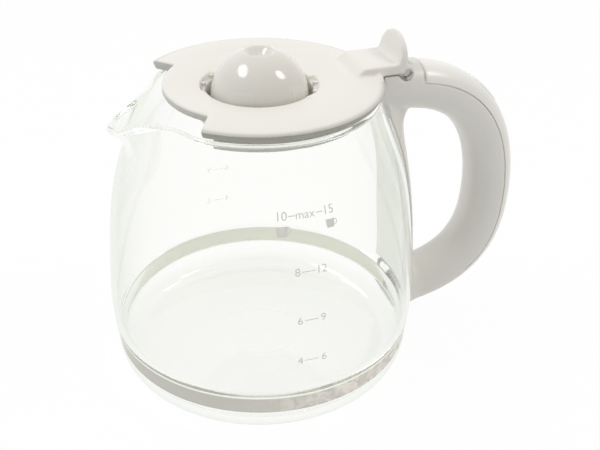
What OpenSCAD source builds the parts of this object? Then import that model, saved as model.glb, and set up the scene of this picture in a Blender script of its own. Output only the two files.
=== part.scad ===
// Glass coffee server with a clamped plastic handle and a hinged lid.
// The origin is on the jug's axis in the plane that it stands on.
// +X points to the handle, -X to the spout, +Z up. Millimetres.

/* [Glass jug] */
// Radius of the ring that the jug stands on
foot_r = 57; // [54:0.5:59]
// Radius at the top of the rounded heel
heel_r = 66.8; // [65:0.1:68]
// Height of the rounded heel
heel_h = 12.2; // [11:0.1:12.4]
// Radius that pulls the body curve outwards at the belly
belly_r = 68.9; // [68:0.1:70]
// Height of the lower pull of the belly
belly_low_h = 30.6; // [28:0.2:32]
// Height of the upper pull of the belly
belly_high_h = 33.8; // [33:0.2:36]
// Radius where the belly passes into the shoulder
waist_r = 67.1; // [66.5:0.1:68]
// Height where the belly passes into the shoulder
waist_h = 55.9; // [52:0.2:60]
// Height of the lower pull of the shoulder
shoulder_h = 99.8; // [96:0.2:102]
// Radius of the upper pull of the shoulder
neck_pull_r = 57.7; // [57:0.1:59]
// Height of the upper pull of the shoulder
neck_pull_h = 99.4; // [98:0.2:102]
// Outer radius of the rim
rim_r = 49.2; // [48.6:0.1:49.6]
// Height of the rim
rim_h = 127.2; // [126.4:0.1:127.3]
// Thickness of the glass wall
wall_t = 2.1; // [1.6:0.1:2.4]
// Thickness of the glass floor
floor_t = 3.4; // [2.6:0.1:4]
// How far the middle of the base is pushed up
push_up = 2.2; // [1:0.1:3]
// Radius of the pushed up middle
push_r = 44; // [36:1:48]
// Radius of the small ring mark in the base
mark_r = 16.6; // [12:0.2:20]

/* [Spout] */
// How far the spout's lip reaches out past the rim
spout_reach = 14.3; // [10:0.1:15]
// How far the lip drops below the rim
spout_drop = 8.4; // [5:0.1:9]
// Depth of the pinch on each side of the spout
spout_pinch = 2.8; // [0:0.1:3]
// Height where the spout starts to leave the round wall
spout_start_h = 100; // [96:0.5:104]

/* [Clamp band] */
// Height of the band's lower edge
band_low_h = 12.7; // [12.6:0.1:14]
// Width of the band
band_w = 8.3; // [6:0.1:9]
// Outer radius of the band
band_r = 66.5; // [66.3:0.1:66.8]
// Thickness of the band's steel
band_t = 0.5; // [0.4:0.1:0.7]
// Length of the turned out ears
ear_l = 9; // [7.5:0.1:9.4]
// Distance between the two ears
ear_gap = 5; // [4:0.1:6]
// Diameter of the clamp screw's thread
clamp_screw_d = 4; // [3:0.1:4.2]
// Diameter of the clamp screw's head
clamp_head_d = 7; // [6:0.1:7.4]
// Height of the clamp screw's head
clamp_head_h = 2.4; // [2:0.1:3]
// Width of the square nut
nut_w = 7; // [6:0.1:7.4]
// Thickness of the square nut
nut_t = 2.2; // [1.6:0.1:2.8]

/* [Handle] */
// Distance from the jug's axis to the middle of the grip
grip_x = 113; // [110:0.2:116]
// Height of the outermost point of the grip
grip_h = 63; // [60:0.5:66]
// Height of the middle of the handle's neck
neck_h = 122; // [121.4:0.1:122.2]
// Height where the middle of the foot meets the glass
foot_h = 16.6; // [16:0.1:17]
// Width of the grip
grip_w = 22.8; // [20:0.2:24]
// Depth of the grip at the neck
neck_d = 20.6; // [19:0.2:21]
// Depth of the grip at its outermost point
grip_d = 21; // [20.4:0.2:23]
// Depth of the grip at the foot
foot_d = 20.4; // [20:0.2:22]
// Wall of the handle's body
body_wall = 2.4; // [1.8:0.1:3]
// Wall of the handle's cover
cover_wall = 2; // [1.6:0.1:2.6]
// Height of the seam above the middle of the section
seam_lift = 3.8; // [2:0.1:5]
// Width of the seam between cover and body
seam_gap = 0.25; // [0.1:0.05:0.4]
// Distance from the axis to the cover's front edge
cover_front_x = 70; // [69:0.2:72]
// Half width of the spine where it is widest
spine_half_w = 16.5; // [14:0.1:17.5]
// Thickness of the spine along its middle
spine_t = 3.6; // [2.8:0.1:4.4]
// Thickness of the spine's edges
spine_edge_t = 0.6; // [0.4:0.1:1]
// Thickness of the soft pad between spine and glass
pad_t = 0.8; // [0.6:0.1:1]
// Length of the hook inside the neck
hook_l = 20; // [14:0.5:24]
// Half width of the hook
hook_half_w = 5; // [4:0.1:6]
// Thickness of the hook
hook_t = 2; // [1.6:0.1:2.4]
// Thickness of the soft sleeve on the hook
hook_pad_t = 0.7; // [0.5:0.05:0.9]

/* [Badge] */
// Length of the plain oval badge
badge_l = 16; // [14:0.5:18]
// Width of the plain oval badge
badge_w = 11; // [9:0.5:12]
// Depth of the badge's pocket
badge_t = 0.8; // [0.6:0.1:1]

/* [Lid] */
// Outer radius of the flange
flange_r = 51.2; // [50.5:0.1:51.6]
// Height of the flange's top edge
flange_top_h = 131.1; // [131:0.1:131.6]
// Height of the lid's crown above the flange's edge
crown_rise = 0.9; // [0.4:0.1:1.2]
// Thickness of the lid's plate
plate_t = 2.4; // [2:0.1:2.6]
// Depth of the flange's edge
flange_edge_t = 3.5; // [3.2:0.1:3.6]
// Radius of the disc on the spout side
disc_r = 39.4; // [37:0.2:40.4]
// Half angle of the cut-away at the spout
notch_half_a = 44.5; // [40:0.5:46]
// Outer radius of the skirt inside the neck
skirt_r = 45.8; // [45:0.1:46]
// Height of the skirt's lower edge
skirt_low_h = 123.1; // [122:0.1:124]
// Thickness of the skirt
skirt_t = 1.8; // [1.4:0.1:2.2]
// Half angle of the skirt's cut-away at the spout
skirt_half_a = 48; // [46:0.5:56]
// Radius of the well's opening
well_r = 22; // [21.8:0.1:22.4]
// How far the lip of the well lies below the flange's top edge
well_dip = 1.6; // [1:0.1:2]
// Height of the well's floor
well_floor_h = 117.6; // [116:0.1:119]
// Thickness of the well's wall and floor
well_t = 1.6; // [1.2:0.1:2]
// Depth of the two side recesses of the well
recess_depth = 2.4; // [1.6:0.1:2.8]
// Half angle of each side recess
recess_half_a = 24; // [20:1:30]

/* [Dome] */
// Radius of the dome
dome_r = 20.3; // [19.8:0.1:20.6]
// Height of the dome's equator
dome_h = 125; // [124.4:0.1:125.6]
// Wall of the dome
dome_wall = 1.8; // [1.4:0.1:2.2]
// Radius of the dimple's hollow
dimple_r = 4.4; // [3.6:0.1:5]
// Radius of the flat round the dimple
dimple_rim_r = 6.2; // [5.6:0.1:6.8]
// Depth of the dimple
dimple_depth = 5; // [3.5:0.1:6]

/* [Hinge] */
// Distance from the jug's axis to the hinge pin
pin_x = 61.5; // [61:0.1:62]
// Height of the hinge pin
pin_h = 131; // [130.8:0.1:131.4]
// Diameter of the hinge pin
pin_d = 3.4; // [3:0.1:3.6]
// Outer diameter of the lid's hooks round the pin
knuckle_d = 6.4; // [6:0.1:6.8]
// Width of each of the lid's hooks
knuckle_w = 2.6; // [2:0.1:3]
// Width of the tongue and the thumb tab
tongue_w = 22.8; // [21:0.2:24]
// Height of the tongue's top above its underside
tongue_t = 4.5; // [3.8:0.1:5]
// Height of the thumb tab above the tongue
tab_rise = 11; // [9:0.2:12]
// Thickness of the thumb tab at its root
tab_root_t = 3.4; // [2.8:0.1:3.8]
// Thickness of the thumb tab at its tip
tab_tip_t = 1.9; // [1.4:0.1:2.4]

/* [Clearances] */
// Gap between the handle and the glass
glass_gap = 0.35; // [0.3:0.05:0.5]
// Gap between the band and the bottom of its groove
band_gap = 0.1; // [0.05:0.05:0.2]
// Radial clearance of the pin in the lid's hooks
pin_clear = 0.06; // [0.03:0.01:0.09]
// Radial clearance of the pin in the handle's boss
pin_seat = 0.02; // [0.01:0.01:0.04]
// Gap between parts that swing past each other
swing_gap = 0.4; // [0.3:0.05:0.6]
// Gap between parts that lie against each other
seat_gap = 0.1; // [0.05:0.05:0.2]

/* [Hidden] */
// Fineness of the round pieces, and how far a cutter overruns what it cuts
$fn = 96;
over = 1;
// Colours
glass_tint = [0.92, 0.96, 0.92, 0.35];
off_white = [0.90, 0.89, 0.86];
shade_white = [0.84, 0.83, 0.80];
steel = [0.72, 0.72, 0.70];
soft_grey = [0.80, 0.81, 0.77];

// Curves and small tools

function mix(a, b, t) = a + (b - a) * t;
function smooth(t) = t * t * (3 - 2 * t);
function clamp01(t) = min(1, max(0, t));
function bez(p, t) = pow(1 - t, 3) * p[0] + 3 * pow(1 - t, 2) * t * p[1]
    + 3 * (1 - t) * t * t * p[2] + t * t * t * p[3];
function unit(v) = v / norm(v);
function spow(v, e) = sign(v) * pow(abs(v), e);
function bell(a, a0, w) = exp(-pow((a - a0) / w, 2));

// Closed solid through rings with equal numbers of points. A channel's ring runs out along its
// outer wall and back along its inner wall, and its ends are closed by strips between the two.
module loft(rings, channel = false) {
    n = len(rings[0]);
    m = len(rings);
    half = n / 2;
    centre0 = [for (k = [0:2]) [for (p = rings[0]) p[k]] * [for (p = rings[0]) 1] / n];
    centre1 = [for (k = [0:2]) [for (p = rings[m - 1]) p[k]] * [for (p = rings[0]) 1] / n];
    points = concat([for (r = rings) for (p = r) p], [centre0, centre1]);
    sides = [for (j = [0:m - 2]) for (i = [0:n - 1]) let (a = j * n + i, b = j * n + (i + 1) % n)
        each [[a, b, a + n], [b, b + n, a + n]]];
    last = (m - 1) * n;
    fans = [for (i = [0:n - 1]) each [[i, m * n, (i + 1) % n],
        [last + i, last + (i + 1) % n, m * n + 1]]];
    strips = [for (i = [0:half - 2]) each [
        [i, n - 1 - i, i + 1], [i + 1, n - 1 - i, n - 2 - i],
        [last + i, last + i + 1, last + n - 1 - i],
        [last + i + 1, last + n - 2 - i, last + n - 1 - i]]];
    polyhedron(points, concat(sides, channel ? strips : fans), convexity = 8);
}

// Wedge about the vertical axis, centred on the direction turn
module wedge(r, half_a, turn, low, high) {
    translate([0, 0, low]) rotate(turn) linear_extrude(high - low)
        polygon([[0, 0], [r, -r * tan(half_a)], [r, r * tan(half_a)]]);
}

// Sizes of the glass

belly_curve = [[heel_r, heel_h], [belly_r, belly_low_h], [belly_r, belly_high_h],
    [waist_r, waist_h]];
shoulder_slope = (waist_r - belly_r) / (waist_h - belly_high_h);
shoulder_curve = [[waist_r, waist_h],
    [waist_r + shoulder_slope * (shoulder_h - waist_h), shoulder_h],
    [neck_pull_r, neck_pull_h], [rim_r, rim_h]];
// Steps along each curve of the wall
wall_steps = 9;
// Outer wall above the heel as [height, radius], and the radius at a height
wall_table = concat([for (i = [0:wall_steps - 1]) let (p = bez(belly_curve, i / wall_steps))
    [p[1], p[0]]], [for (i = [0:wall_steps]) let (p = bez(shoulder_curve, i / wall_steps))
    [p[1], p[0]]]);
function glass_r(h) = lookup(h, wall_table);
function heel_point(a) = [foot_r + (heel_r - foot_r) * sin(a), heel_h * (1 - cos(a))];
band_high_h = band_low_h + band_w;
band_mid_h = band_low_h + band_w / 2;
groove_r = band_r - band_t - band_gap;
groove_rise = 0.25;
// Depth of the groove under the glass surface, which the inner wall follows
groove_depth = glass_r(band_mid_h) - groove_r;
function inner_r(h) = glass_r(h) - wall_t - groove_depth * bell(h, band_mid_h, band_w * 0.7);
// Radius of the inner corner between floor and wall
inner_corner = heel_h - floor_t;

// Levels that the lid and the handle share
tongue_under_h = pin_h - seat_gap * 2;
tongue_top_h = tongue_under_h + tongue_t;
flange_low_h = flange_top_h - flange_edge_t;

/* Glass jug */

// The rim's outline at an angle from the spout: reach, drop and the height share of each ring
spout_half_a = 13;
pinch_a = 29;
pinch_half_a = 11;
drop_half_a = 15;
spout_swell = 2.5;
jug_around = 84;
neck_rings = 8;
function turn_at(i) = 180 - 360 * i / jug_around;
function from_spout(i) = let (a = 360 * i / jug_around) a > 180 ? 360 - a : a;
function spout_out(a) = spout_reach * bell(a, 0, spout_half_a)
    - spout_pinch * bell(a, pinch_a, pinch_half_a);
function rim_at(a) = rim_h - spout_drop * bell(a, 0, drop_half_a);
// Point of the neck's wall: share t of the way up, inset from the outer surface
function neck_point(i, t, inset, sink = 0) = let (
    a = from_spout(i), h = mix(spout_start_h, rim_h, t),
    r = glass_r(h) + spout_out(a) * pow(t, spout_swell) - inset,
    z = mix(spout_start_h, rim_at(a), t) - sink) [r * cos(turn_at(i)), r * sin(turn_at(i)), z];
function neck_ring(t, inset, sink = 0) = [for (i = [0:jug_around - 1])
    neck_point(i, t, inset, sink)];
function round_ring(p) = [for (i = [0:jug_around - 1])
    [p[0] * cos(turn_at(i)), p[0] * sin(turn_at(i)), p[1]]];
bead = wall_t * 0.62;
// One shell, from the middle of the base out and up the wall, over the rim and down to the floor.
// The ring that it stands on is first left a little deep and then cut off flat.
module glass_jug() {
    arc_steps = 5;
    inner_steps = 12;
    heel = [for (i = [1:arc_steps]) heel_point(86 * i / arc_steps)];
    heel_spread = (heel[0][0] - foot_r) / heel[0][1];
    base = [[mark_r, push_up], [mark_r + groove_rise * 2, push_up + groove_rise],
        [mark_r + groove_rise * 4, push_up], [push_r - push_up * 3, push_up],
        [push_r + groove_rise * 3, -groove_rise], [foot_r - groove_rise * heel_spread, -groove_rise]];
    groove = [[glass_r(band_low_h - groove_rise), band_low_h - groove_rise],
        [groove_r, band_low_h - groove_rise / 2], [groove_r, band_high_h + groove_rise / 2],
        [glass_r(band_high_h + groove_rise), band_high_h + groove_rise]];
    wall = [for (p = wall_table) if (p[0] > band_high_h + over && p[0] < spout_start_h - over)
        [p[1], p[0]]];
    inner_wall = [for (i = [inner_steps:-1:0]) let (
        h = mix(heel_h, spout_start_h, i / inner_steps)) [inner_r(h), h]];
    inner_heel = [for (i = [arc_steps - 1:-1:0]) let (a = 90 * i / arc_steps)
        [mix(foot_r, inner_r(heel_h), sin(a)), heel_h - inner_corner * cos(a)]];
    floor_top = [[push_r, floor_t], [push_r - push_up * 3, floor_t + push_up * 0.6]];
    color(glass_tint) difference() {
        loft(concat(
            [for (p = concat(base, heel, groove, wall)) round_ring(p)],
            [for (j = [0:neck_rings - 1]) neck_ring(j / neck_rings, 0)],
            [for (a = [30:30:150]) neck_ring(1, bead * (1 - cos(a)) - (bead - wall_t / 2),
                bead * (1 - sin(a)))],
            [for (j = [neck_rings - 1:-1:1]) neck_ring(j / neck_rings, wall_t)],
            [for (p = concat(inner_wall, inner_heel, floor_top)) round_ring(p)]));
        translate([0, 0, -over]) cylinder(r = heel_r, h = over);
    }
}

/* Clamp band, its screw and its nut */

screw_x = band_r + ear_l * 0.58;
ear_in_y = ear_gap / 2;
ear_h = band_w - band_t * 2;
module clamp_band() {
    ear_root_x = band_r - band_t;
    color(steel) difference() {
        union() {
            difference() {
                translate([0, 0, band_low_h]) cylinder(r = band_r, h = band_w, $fn = 180);
                translate([0, 0, band_low_h - over])
                    cylinder(r = band_r - band_t, h = band_w + over * 2, $fn = 180);
                translate([0, -ear_in_y - band_t / 2, band_low_h - over])
                    cube([band_r + over, ear_gap + band_t, band_w + over * 2]);
            }
            for (side = [0, 1]) mirror([0, side, 0])
                translate([ear_root_x, ear_in_y, band_mid_h - ear_h / 2])
                    cube([ear_l, band_t * 2, ear_h]);
        }
        translate([screw_x, 0, band_mid_h]) rotate([90, 0, 0])
            cylinder(d = clamp_screw_d + seat_gap * 2, h = ear_gap * 4, center = true);
    }
}
screw_head_y = ear_in_y + band_t * 2 + seat_gap;
nut_y = screw_head_y;
module clamp_screw() {
    slot_w = clamp_head_h / 3;
    color(steel) translate([screw_x, 0, band_mid_h]) difference() {
        union() {
            translate([0, screw_head_y, 0]) rotate([-90, 0, 0]) {
                cylinder(d = clamp_head_d, h = clamp_head_h * 0.6);
                translate([0, 0, clamp_head_h * 0.6])
                    cylinder(d1 = clamp_head_d, d2 = clamp_head_d * 0.7, h = clamp_head_h * 0.4);
            }
            rotate([-90, 0, 0]) translate([0, 0, -nut_y - nut_t - clamp_screw_d / 4])
                cylinder(d = clamp_screw_d, h = nut_y + nut_t + clamp_screw_d / 4 + screw_head_y);
        }
        translate([0, screw_head_y + clamp_head_h, 0])
            cube([slot_w, clamp_head_h, clamp_head_d + over], center = true);
    }
}
module clamp_nut() {
    color(steel) translate([screw_x, -nut_y - nut_t, band_mid_h]) difference() {
        translate([-nut_w / 2, 0, -nut_w / 2]) cube([nut_w, nut_t, nut_w]);
        translate([0, -over, 0]) rotate([-90, 0, 0])
            cylinder(d = clamp_screw_d + pin_seat * 2, h = nut_t + over * 2);
    }
}

/* Handle */

// The middle line of the handle, from the neck over the grip to the foot
neck_straight_x = 60;
neck_pull = 42;
grip_pull_up = 27;
grip_pull_down = 18;
foot_pull = 42;
foot_slope_a = 4;
foot_end_x = glass_r(band_mid_h) + glass_gap;
top_curve = [[neck_straight_x, neck_h], [neck_straight_x + neck_pull, neck_h],
    [grip_x, grip_h + grip_pull_up], [grip_x, grip_h]];
low_curve = [[grip_x, grip_h], [grip_x, grip_h - grip_pull_down],
    [foot_end_x + foot_pull * cos(foot_slope_a), foot_h + foot_pull * sin(foot_slope_a)],
    [foot_end_x, foot_h]];
function mid(u) = u < 0 ? top_curve[0] + [u * neck_straight_x, 0]
    : u <= 1 ? bez(top_curve, u) : bez(low_curve, u - 1);
function along(u) = unit(mid(min(2, u + 0.01)) - mid(u - 0.01));
function depth(u) = (u < 1 ? mix(neck_d, grip_d, smooth(clamp01(u)))
    : mix(grip_d, foot_d, smooth(u - 1))) / 2;
squareness_share = 0.84;
// A point of the section: lift from the middle line along its outward normal, and sideways
function section(u, lift, y) = let (c = mid(u), d = along(u)) [c[0] - d[1] * lift, y,
    c[1] + d[0] * lift];
function oval(a, hd, hw) = [hd * spow(cos(a), squareness_share), hw * spow(sin(a), squareness_share)];
// Angle at which the section's outline crosses a lift
function angle_at(lift, hd) = acos(pow(lift / hd, 1 / squareness_share));
function solid_ring(u, points) = [for (i = [0:points - 1]) let (
    p = oval(360 * i / points, depth(u), grip_w / 2)) section(u, p[0], p[1])];
// Open channel between two angles of the section, with a wall
function channel_ring(u, wall, a0, a1, a2, a3, points) = concat(
    [for (i = [0:points - 1]) let (p = oval(mix(a0, a1, i / (points - 1)), depth(u), grip_w / 2))
        section(u, p[0], p[1])],
    [for (i = [points - 1:-1:0]) let (
        p = oval(mix(a2, a3, i / (points - 1)), depth(u) - wall, grip_w / 2 - wall))
        section(u, p[0], p[1])]);
function body_ring(u, points) = let (a = angle_at(seam_lift, depth(u)),
    b = angle_at(seam_lift, depth(u) - body_wall))
    channel_ring(u, body_wall, a, 360 - a, b, 360 - b, points);
function cover_ring(u, points) = let (a = angle_at(seam_lift + seam_gap, depth(u)),
    b = angle_at(seam_lift + seam_gap, depth(u) - cover_wall))
    channel_ring(u, cover_wall, -a, a, -b, b, points);
// How far the middle line runs out for each unit of its parameter near the neck, and the places
// along it where the neck and the foot are solid and where the cover starts and ends
front_run = neck_pull * 2.86;
neck_solid_u = (cover_front_x - neck_straight_x) / front_run;
cover_start_u = neck_solid_u + seam_gap / front_run;
foot_solid_share = 1.66;
cover_end_u = foot_solid_share - seam_gap / front_run;
section_points = 26;
// Where a ring's point meets the glass, kept clear by a gap
function on_glass(p, gap) = let (r = glass_r(min(p[2], rim_h)) + gap)
    [sqrt(r * r - p[1] * p[1]), p[1], p[2]];
// Spine: half width and thickness along its height, as shares of the largest of each
// Room for the pad between the handle and the glass
pad_room = glass_gap + pad_t + seat_gap;
spine_low_h = band_high_h + band_w * 0.43;
spine_high_h = neck_h;
spine_w_shares = [[0, 0.97], [0.18, 1], [0.35, 1], [0.52, 0.9], [0.65, 0.8], [0.78, 0.72],
    [0.88, 0.69], [1, 0.69]];
spine_t_shares = [[0, 1.9], [0.07, 1.35], [0.2, 1], [0.6, 1.05], [0.74, 1.3], [0.82, 1.8],
    [0.87, 2.6], [0.91, 4], [1, 6]];
spine_rings = 26;
spine_points = 9;
function spine_ring(h, inner_gap, thick, edge, width) = concat(
    [for (i = [0:spine_points - 1]) let (y = width * (2 * i / (spine_points - 1) - 1))
        on_glass([0, y, h], inner_gap)],
    [for (i = [spine_points - 1:-1:0]) let (s = 2 * i / (spine_points - 1) - 1, y = width * s,
        t = edge + (thick - edge) * (1 - s * s)) on_glass([0, y, h], inner_gap) + [t, 0, 0]]);
module spine() {
    loft([for (j = [0:spine_rings]) let (t = j / spine_rings, h = mix(spine_low_h, spine_high_h, t))
        spine_ring(h, pad_room, spine_t * lookup(t, spine_t_shares),
            spine_edge_t, spine_half_w * lookup(t, spine_w_shares))]);
}
// Sizes of the rings that cover a face lying on the glass, from its middle to its edge
face_shares = [0.04, 0.36, 0.68, 1];
// Neck: a solid stretch whose inner end follows the glass
module neck_block() {
    inner = [for (share = face_shares) [for (i = [0:section_points - 1]) let (
        p = share * oval(360 * i / section_points, depth(0), grip_w / 2))
        on_glass([0, p[1], neck_h + p[0]], glass_gap)]];
    loft(concat(inner, [for (i = [0:4]) solid_ring(neck_solid_u * i / 4, section_points)]));
}
// Foot: a solid stretch that flares to the spine's width where it meets the glass
foot_flare_share = 1.38;
module foot_block() {
    end_d = depth(2);
    outer = [for (u = [foot_solid_share:0.06:1.93]) solid_ring(u, section_points)];
    inner = [for (k = [1:len(face_shares)]) [for (i = [0:section_points - 1]) let (
        p = face_shares[len(face_shares) - k]
            * oval(360 * i / section_points, end_d, grip_w / 2 * foot_flare_share))
        on_glass([0, p[1], foot_h - p[0]], pad_room)]];
    near = [for (i = [0:section_points - 1]) let (
        p = oval(360 * i / section_points, end_d, grip_w / 2 * mix(1, foot_flare_share, 0.45)))
        on_glass([0, p[1], foot_h - p[0]], pad_room) + [foot_d / 7, 0, foot_d / 50]];
    loft(concat(outer, [near], inner));
}
hook_low_h = rim_h - hook_l;
hook_top_h = tongue_under_h - swing_gap * 2;
hook_leg_r = rim_r - wall_t - glass_gap - hook_pad_t;
boss_half_w = tongue_w / 2 - knuckle_w - seat_gap * 2;
boss_d = knuckle_d - seat_gap * 4;
// Shallow recess over the band, and the deeper pocket in it for the ears, the screw and the nut
recess_half_w = 12.6;
recess_low_h = band_low_h - band_w / 4;
recess_high_h = spine_low_h - spine_edge_t / 2;
recess_x = foot_end_x + band_t * 3;
pocket_half_w = 8.4;
pocket_x = band_r + ear_l + band_t;
pocket_half_h = nut_w / 2 + band_t * 1.5;
saddle_low_h = flange_low_h - swing_gap;
// Length behind the pin that is kept free for the thumb tab when the lid stands open
tab_room_l = knuckle_d / 2 + swing_gap * 4.5;
// Hook that reaches from the neck over the rim and down inside the glass
module hook() {
    bridge_low_h = rim_h + glass_gap;
    intersection() {
        rotate_extrude() polygon([[hook_leg_r - hook_t, hook_low_h], [hook_leg_r, hook_low_h],
            [hook_leg_r, bridge_low_h], [flange_r + hook_t, bridge_low_h],
            [flange_r + hook_t, hook_top_h], [hook_leg_r - hook_t, hook_top_h]]);
        translate([0, -hook_half_w, 0]) cube([grip_x, hook_half_w * 2, neck_h * 2]);
    }
}
// Room above the neck for the flange, the tongue, the thumb tab's root and the lid's hooks
module saddle() {
    tongue_low_h = tongue_under_h - swing_gap;
    flange_out_r = flange_r + swing_gap * 2;
    translate([0, 0, saddle_low_h]) cylinder(r = flange_out_r, h = neck_h);
    translate([0, -grip_w, tongue_low_h]) cube([pin_x, grip_w * 2, neck_h]);
    for (side = [0, 1]) mirror([0, side, 0]) translate([pin_x, boss_half_w, pin_h])
        rotate([-90, 0, 0]) cylinder(d = knuckle_d + swing_gap * 2, h = grip_w);
    translate([pin_x, -grip_w, pin_h]) cube([tab_room_l, grip_w * 2, neck_h]);
}
// Puts its children on the middle line at u, with +Z along the outward normal
module on_handle(u, lift = 0) {
    d = along(u);
    translate(section(u, lift, 0)) rotate([0, atan2(-d[1], d[0]), 0]) children();
}
// Pale shell with its neck, spine, foot and hook, joined into one mesh before it is drilled
module handle_shell() {
    ring_step_share = 0.0388;
    resize([0, 0, 0]) union() {
        difference() {
            union() {
                neck_block();
                spine();
                loft([for (u = [neck_solid_u - ring_step_share / 2:ring_step_share
                    :foot_solid_share + ring_step_share])
                    body_ring(u, section_points / 2 + 2)], channel = true);
                foot_block();
            }
            saddle();
            translate([0, -recess_half_w, recess_low_h])
                cube([recess_x, recess_half_w * 2, recess_high_h - recess_low_h]);
            translate([0, -pocket_half_w, band_mid_h - pocket_half_h])
                cube([pocket_x, pocket_half_w * 2, pocket_half_h * 2]);
        }
        hook();
    }
}
cover_screw_d = 2.9;
cover_head_d = 5.6;
cover_head_t = 2;
cover_screw_l = 13;
cover_boss_d = 7;
cover_screw_shares = [0.42, 1.2];
module handle_body() {
    color(shade_white) difference() {
        union() {
            handle_shell();
            translate([pin_x, 0, pin_h]) rotate([90, 0, 0])
                cylinder(d = boss_d, h = boss_half_w * 2, center = true);
            translate([pin_x - boss_d / 2, -boss_half_w, tongue_under_h - boss_d])
                cube([boss_d, boss_half_w * 2, boss_d - (tongue_under_h - pin_h)]);
            for (u = cover_screw_shares) on_handle(u, -depth(u) + body_wall / 2)
                cylinder(d = cover_boss_d, h = depth(u) + seam_lift - body_wall / 2);
        }
        translate([pin_x, 0, pin_h]) rotate([90, 0, 0])
            cylinder(d = pin_d + pin_seat * 2, h = grip_w * 2, center = true);
        translate([screw_x, 0, band_mid_h]) rotate([-90, 0, 0])
            cylinder(d = clamp_head_d + seat_gap * 6, h = grip_w);
        for (u = cover_screw_shares) on_handle(u, -depth(u) - over) {
            cylinder(d = cover_screw_d + seat_gap * 3, h = depth(u) * 2);
            cylinder(d = cover_head_d + seat_gap * 2, h = over + cover_head_t * 1.5);
        }
    }
}
module cover_screws() {
    color(steel) for (u = cover_screw_shares) on_handle(u, -depth(u) + cover_head_t * 0.5)
        difference() {
            union() {
                cylinder(d = cover_head_d, h = cover_head_t);
                cylinder(d = cover_screw_d, h = cover_head_t + cover_screw_l);
            }
            translate([-cover_head_t / 6, -cover_head_d, -over])
                cube([cover_head_t / 3, cover_head_d * 2, over + cover_head_t / 3]);
        }
}
badge_share = 0.42;
module badge_prism(grow, low) {
    on_handle(badge_share, depth(badge_share) - low)
        scale([(badge_l + grow * 2) / (badge_w + grow * 2), 1, 1])
            cylinder(d = badge_w + grow * 2, h = low + over);
}
badge_floor = badge_t * 2.2;
// Stretch of the handle, on each side of the badge, that its curved face is taken from
badge_span_share = 0.34;
module badge_core() {
    badge_rings = 8;
    loft([for (i = [0:badge_rings]) solid_ring(
        badge_share + badge_span_share * (2 * i / badge_rings - 1), section_points)]);
}
cover_rings = 40;
module handle_cover() {
    color(off_white) difference() {
        union() {
            loft([for (i = [0:cover_rings]) let (u = mix(cover_start_u, cover_end_u, i / cover_rings))
                cover_ring(u, section_points / 2 + 2)], channel = true);
            intersection() {
                badge_prism(badge_t, badge_floor + badge_t);
                badge_core();
            }
            for (u = cover_screw_shares) on_handle(u, seam_lift + seam_gap)
                cylinder(d = cover_boss_d, h = depth(u) - seam_lift - seam_gap - cover_wall / 2);
        }
        badge_prism(seat_gap, badge_floor);
        for (u = cover_screw_shares) on_handle(u)
            cylinder(d = cover_screw_d + pin_seat * 2,
                h = cover_screw_l + cover_head_t * 2 - depth(u));
    }
}
module handle_badge() {
    color(steel) intersection() {
        badge_prism(0, badge_floor - seat_gap);
        badge_core();
    }
}
module spine_pad() {
    low_h = spine_low_h + spine_edge_t / 2;
    high_h = neck_h - neck_d / 2 - spine_edge_t;
    color(soft_grey) loft([for (j = [0:spine_rings]) let (
        h = mix(low_h, high_h, j / spine_rings),
        t = (h - spine_low_h) / (spine_high_h - spine_low_h))
        spine_ring(h, glass_gap, pad_t, pad_t,
            spine_half_w * lookup(t, spine_w_shares) - spine_edge_t)]);
}
module hook_sleeve() {
    in_r = hook_leg_r + pin_seat;
    out_r = hook_leg_r + hook_pad_t;
    color(soft_grey) intersection() {
        rotate_extrude() polygon([[in_r, hook_low_h], [out_r, hook_low_h],
            [out_r, rim_h], [in_r, rim_h]]);
        translate([0, -hook_half_w, 0]) cube([grip_x, hook_half_w * 2, rim_h * 2]);
    }
}
// The pin ends inside the lid's hooks, so that a hollow shows in each of them
pin_l = tongue_w - knuckle_w * 0.9;
module hinge_pin() {
    color(steel) translate([pin_x, 0, pin_h]) rotate([90, 0, 0])
        cylinder(d = pin_d, h = pin_l, center = true);
}

/* Lid */

crown_h = flange_top_h + crown_rise;
well_lip_h = flange_top_h - well_dip;
lid_curve_steps = 12;
// Top of the lid from the well's lip over the crown to the flange's edge
lid_top_curve = [[well_r, well_lip_h], [well_r + (flange_r - well_r) * 0.22, crown_h + crown_rise],
    [flange_r - (flange_r - well_r) * 0.3, crown_h + crown_rise * 0.4], [flange_r, flange_top_h]];
lid_table = [for (i = [0:lid_curve_steps]) bez(lid_top_curve, i / lid_curve_steps)];
function lid_top(r) = lookup(r, lid_table);
edge_round = 0.5;
function lid_section(r0, r1, lip) = concat(
    [[r1 - edge_round, lid_top(r1 - edge_round)], [r1, lid_top(r1) - edge_round],
        [r1, lid_top(r1) - lip]],
    lip > plate_t ? [[r1 - plate_t, lid_top(r1) - lip],
        [r1 - plate_t, lid_top(r1) - plate_t]] : [],
    [[r0, lid_top(r0) - plate_t], [r0, lid_top(r0)]],
    [for (p = lid_table) if (p[0] > r0 + edge_round && p[0] < r1 - edge_round * 2) p]);
module spout_wedge(r0, half_a) {
    difference() {
        wedge(flange_r + over, half_a, 180, skirt_low_h - over, crown_h + over);
        translate([0, 0, skirt_low_h - over * 2]) cylinder(r = r0, h = neck_h);
    }
}
module lid_plate() {
    rotate_extrude() polygon(lid_section(well_r, disc_r, plate_t));
    difference() {
        rotate_extrude() polygon(lid_section(disc_r - plate_t, flange_r, flange_edge_t));
        spout_wedge(disc_r - over / 2, notch_half_a);
    }
}
hook_room = hook_half_w + swing_gap * 2;
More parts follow.
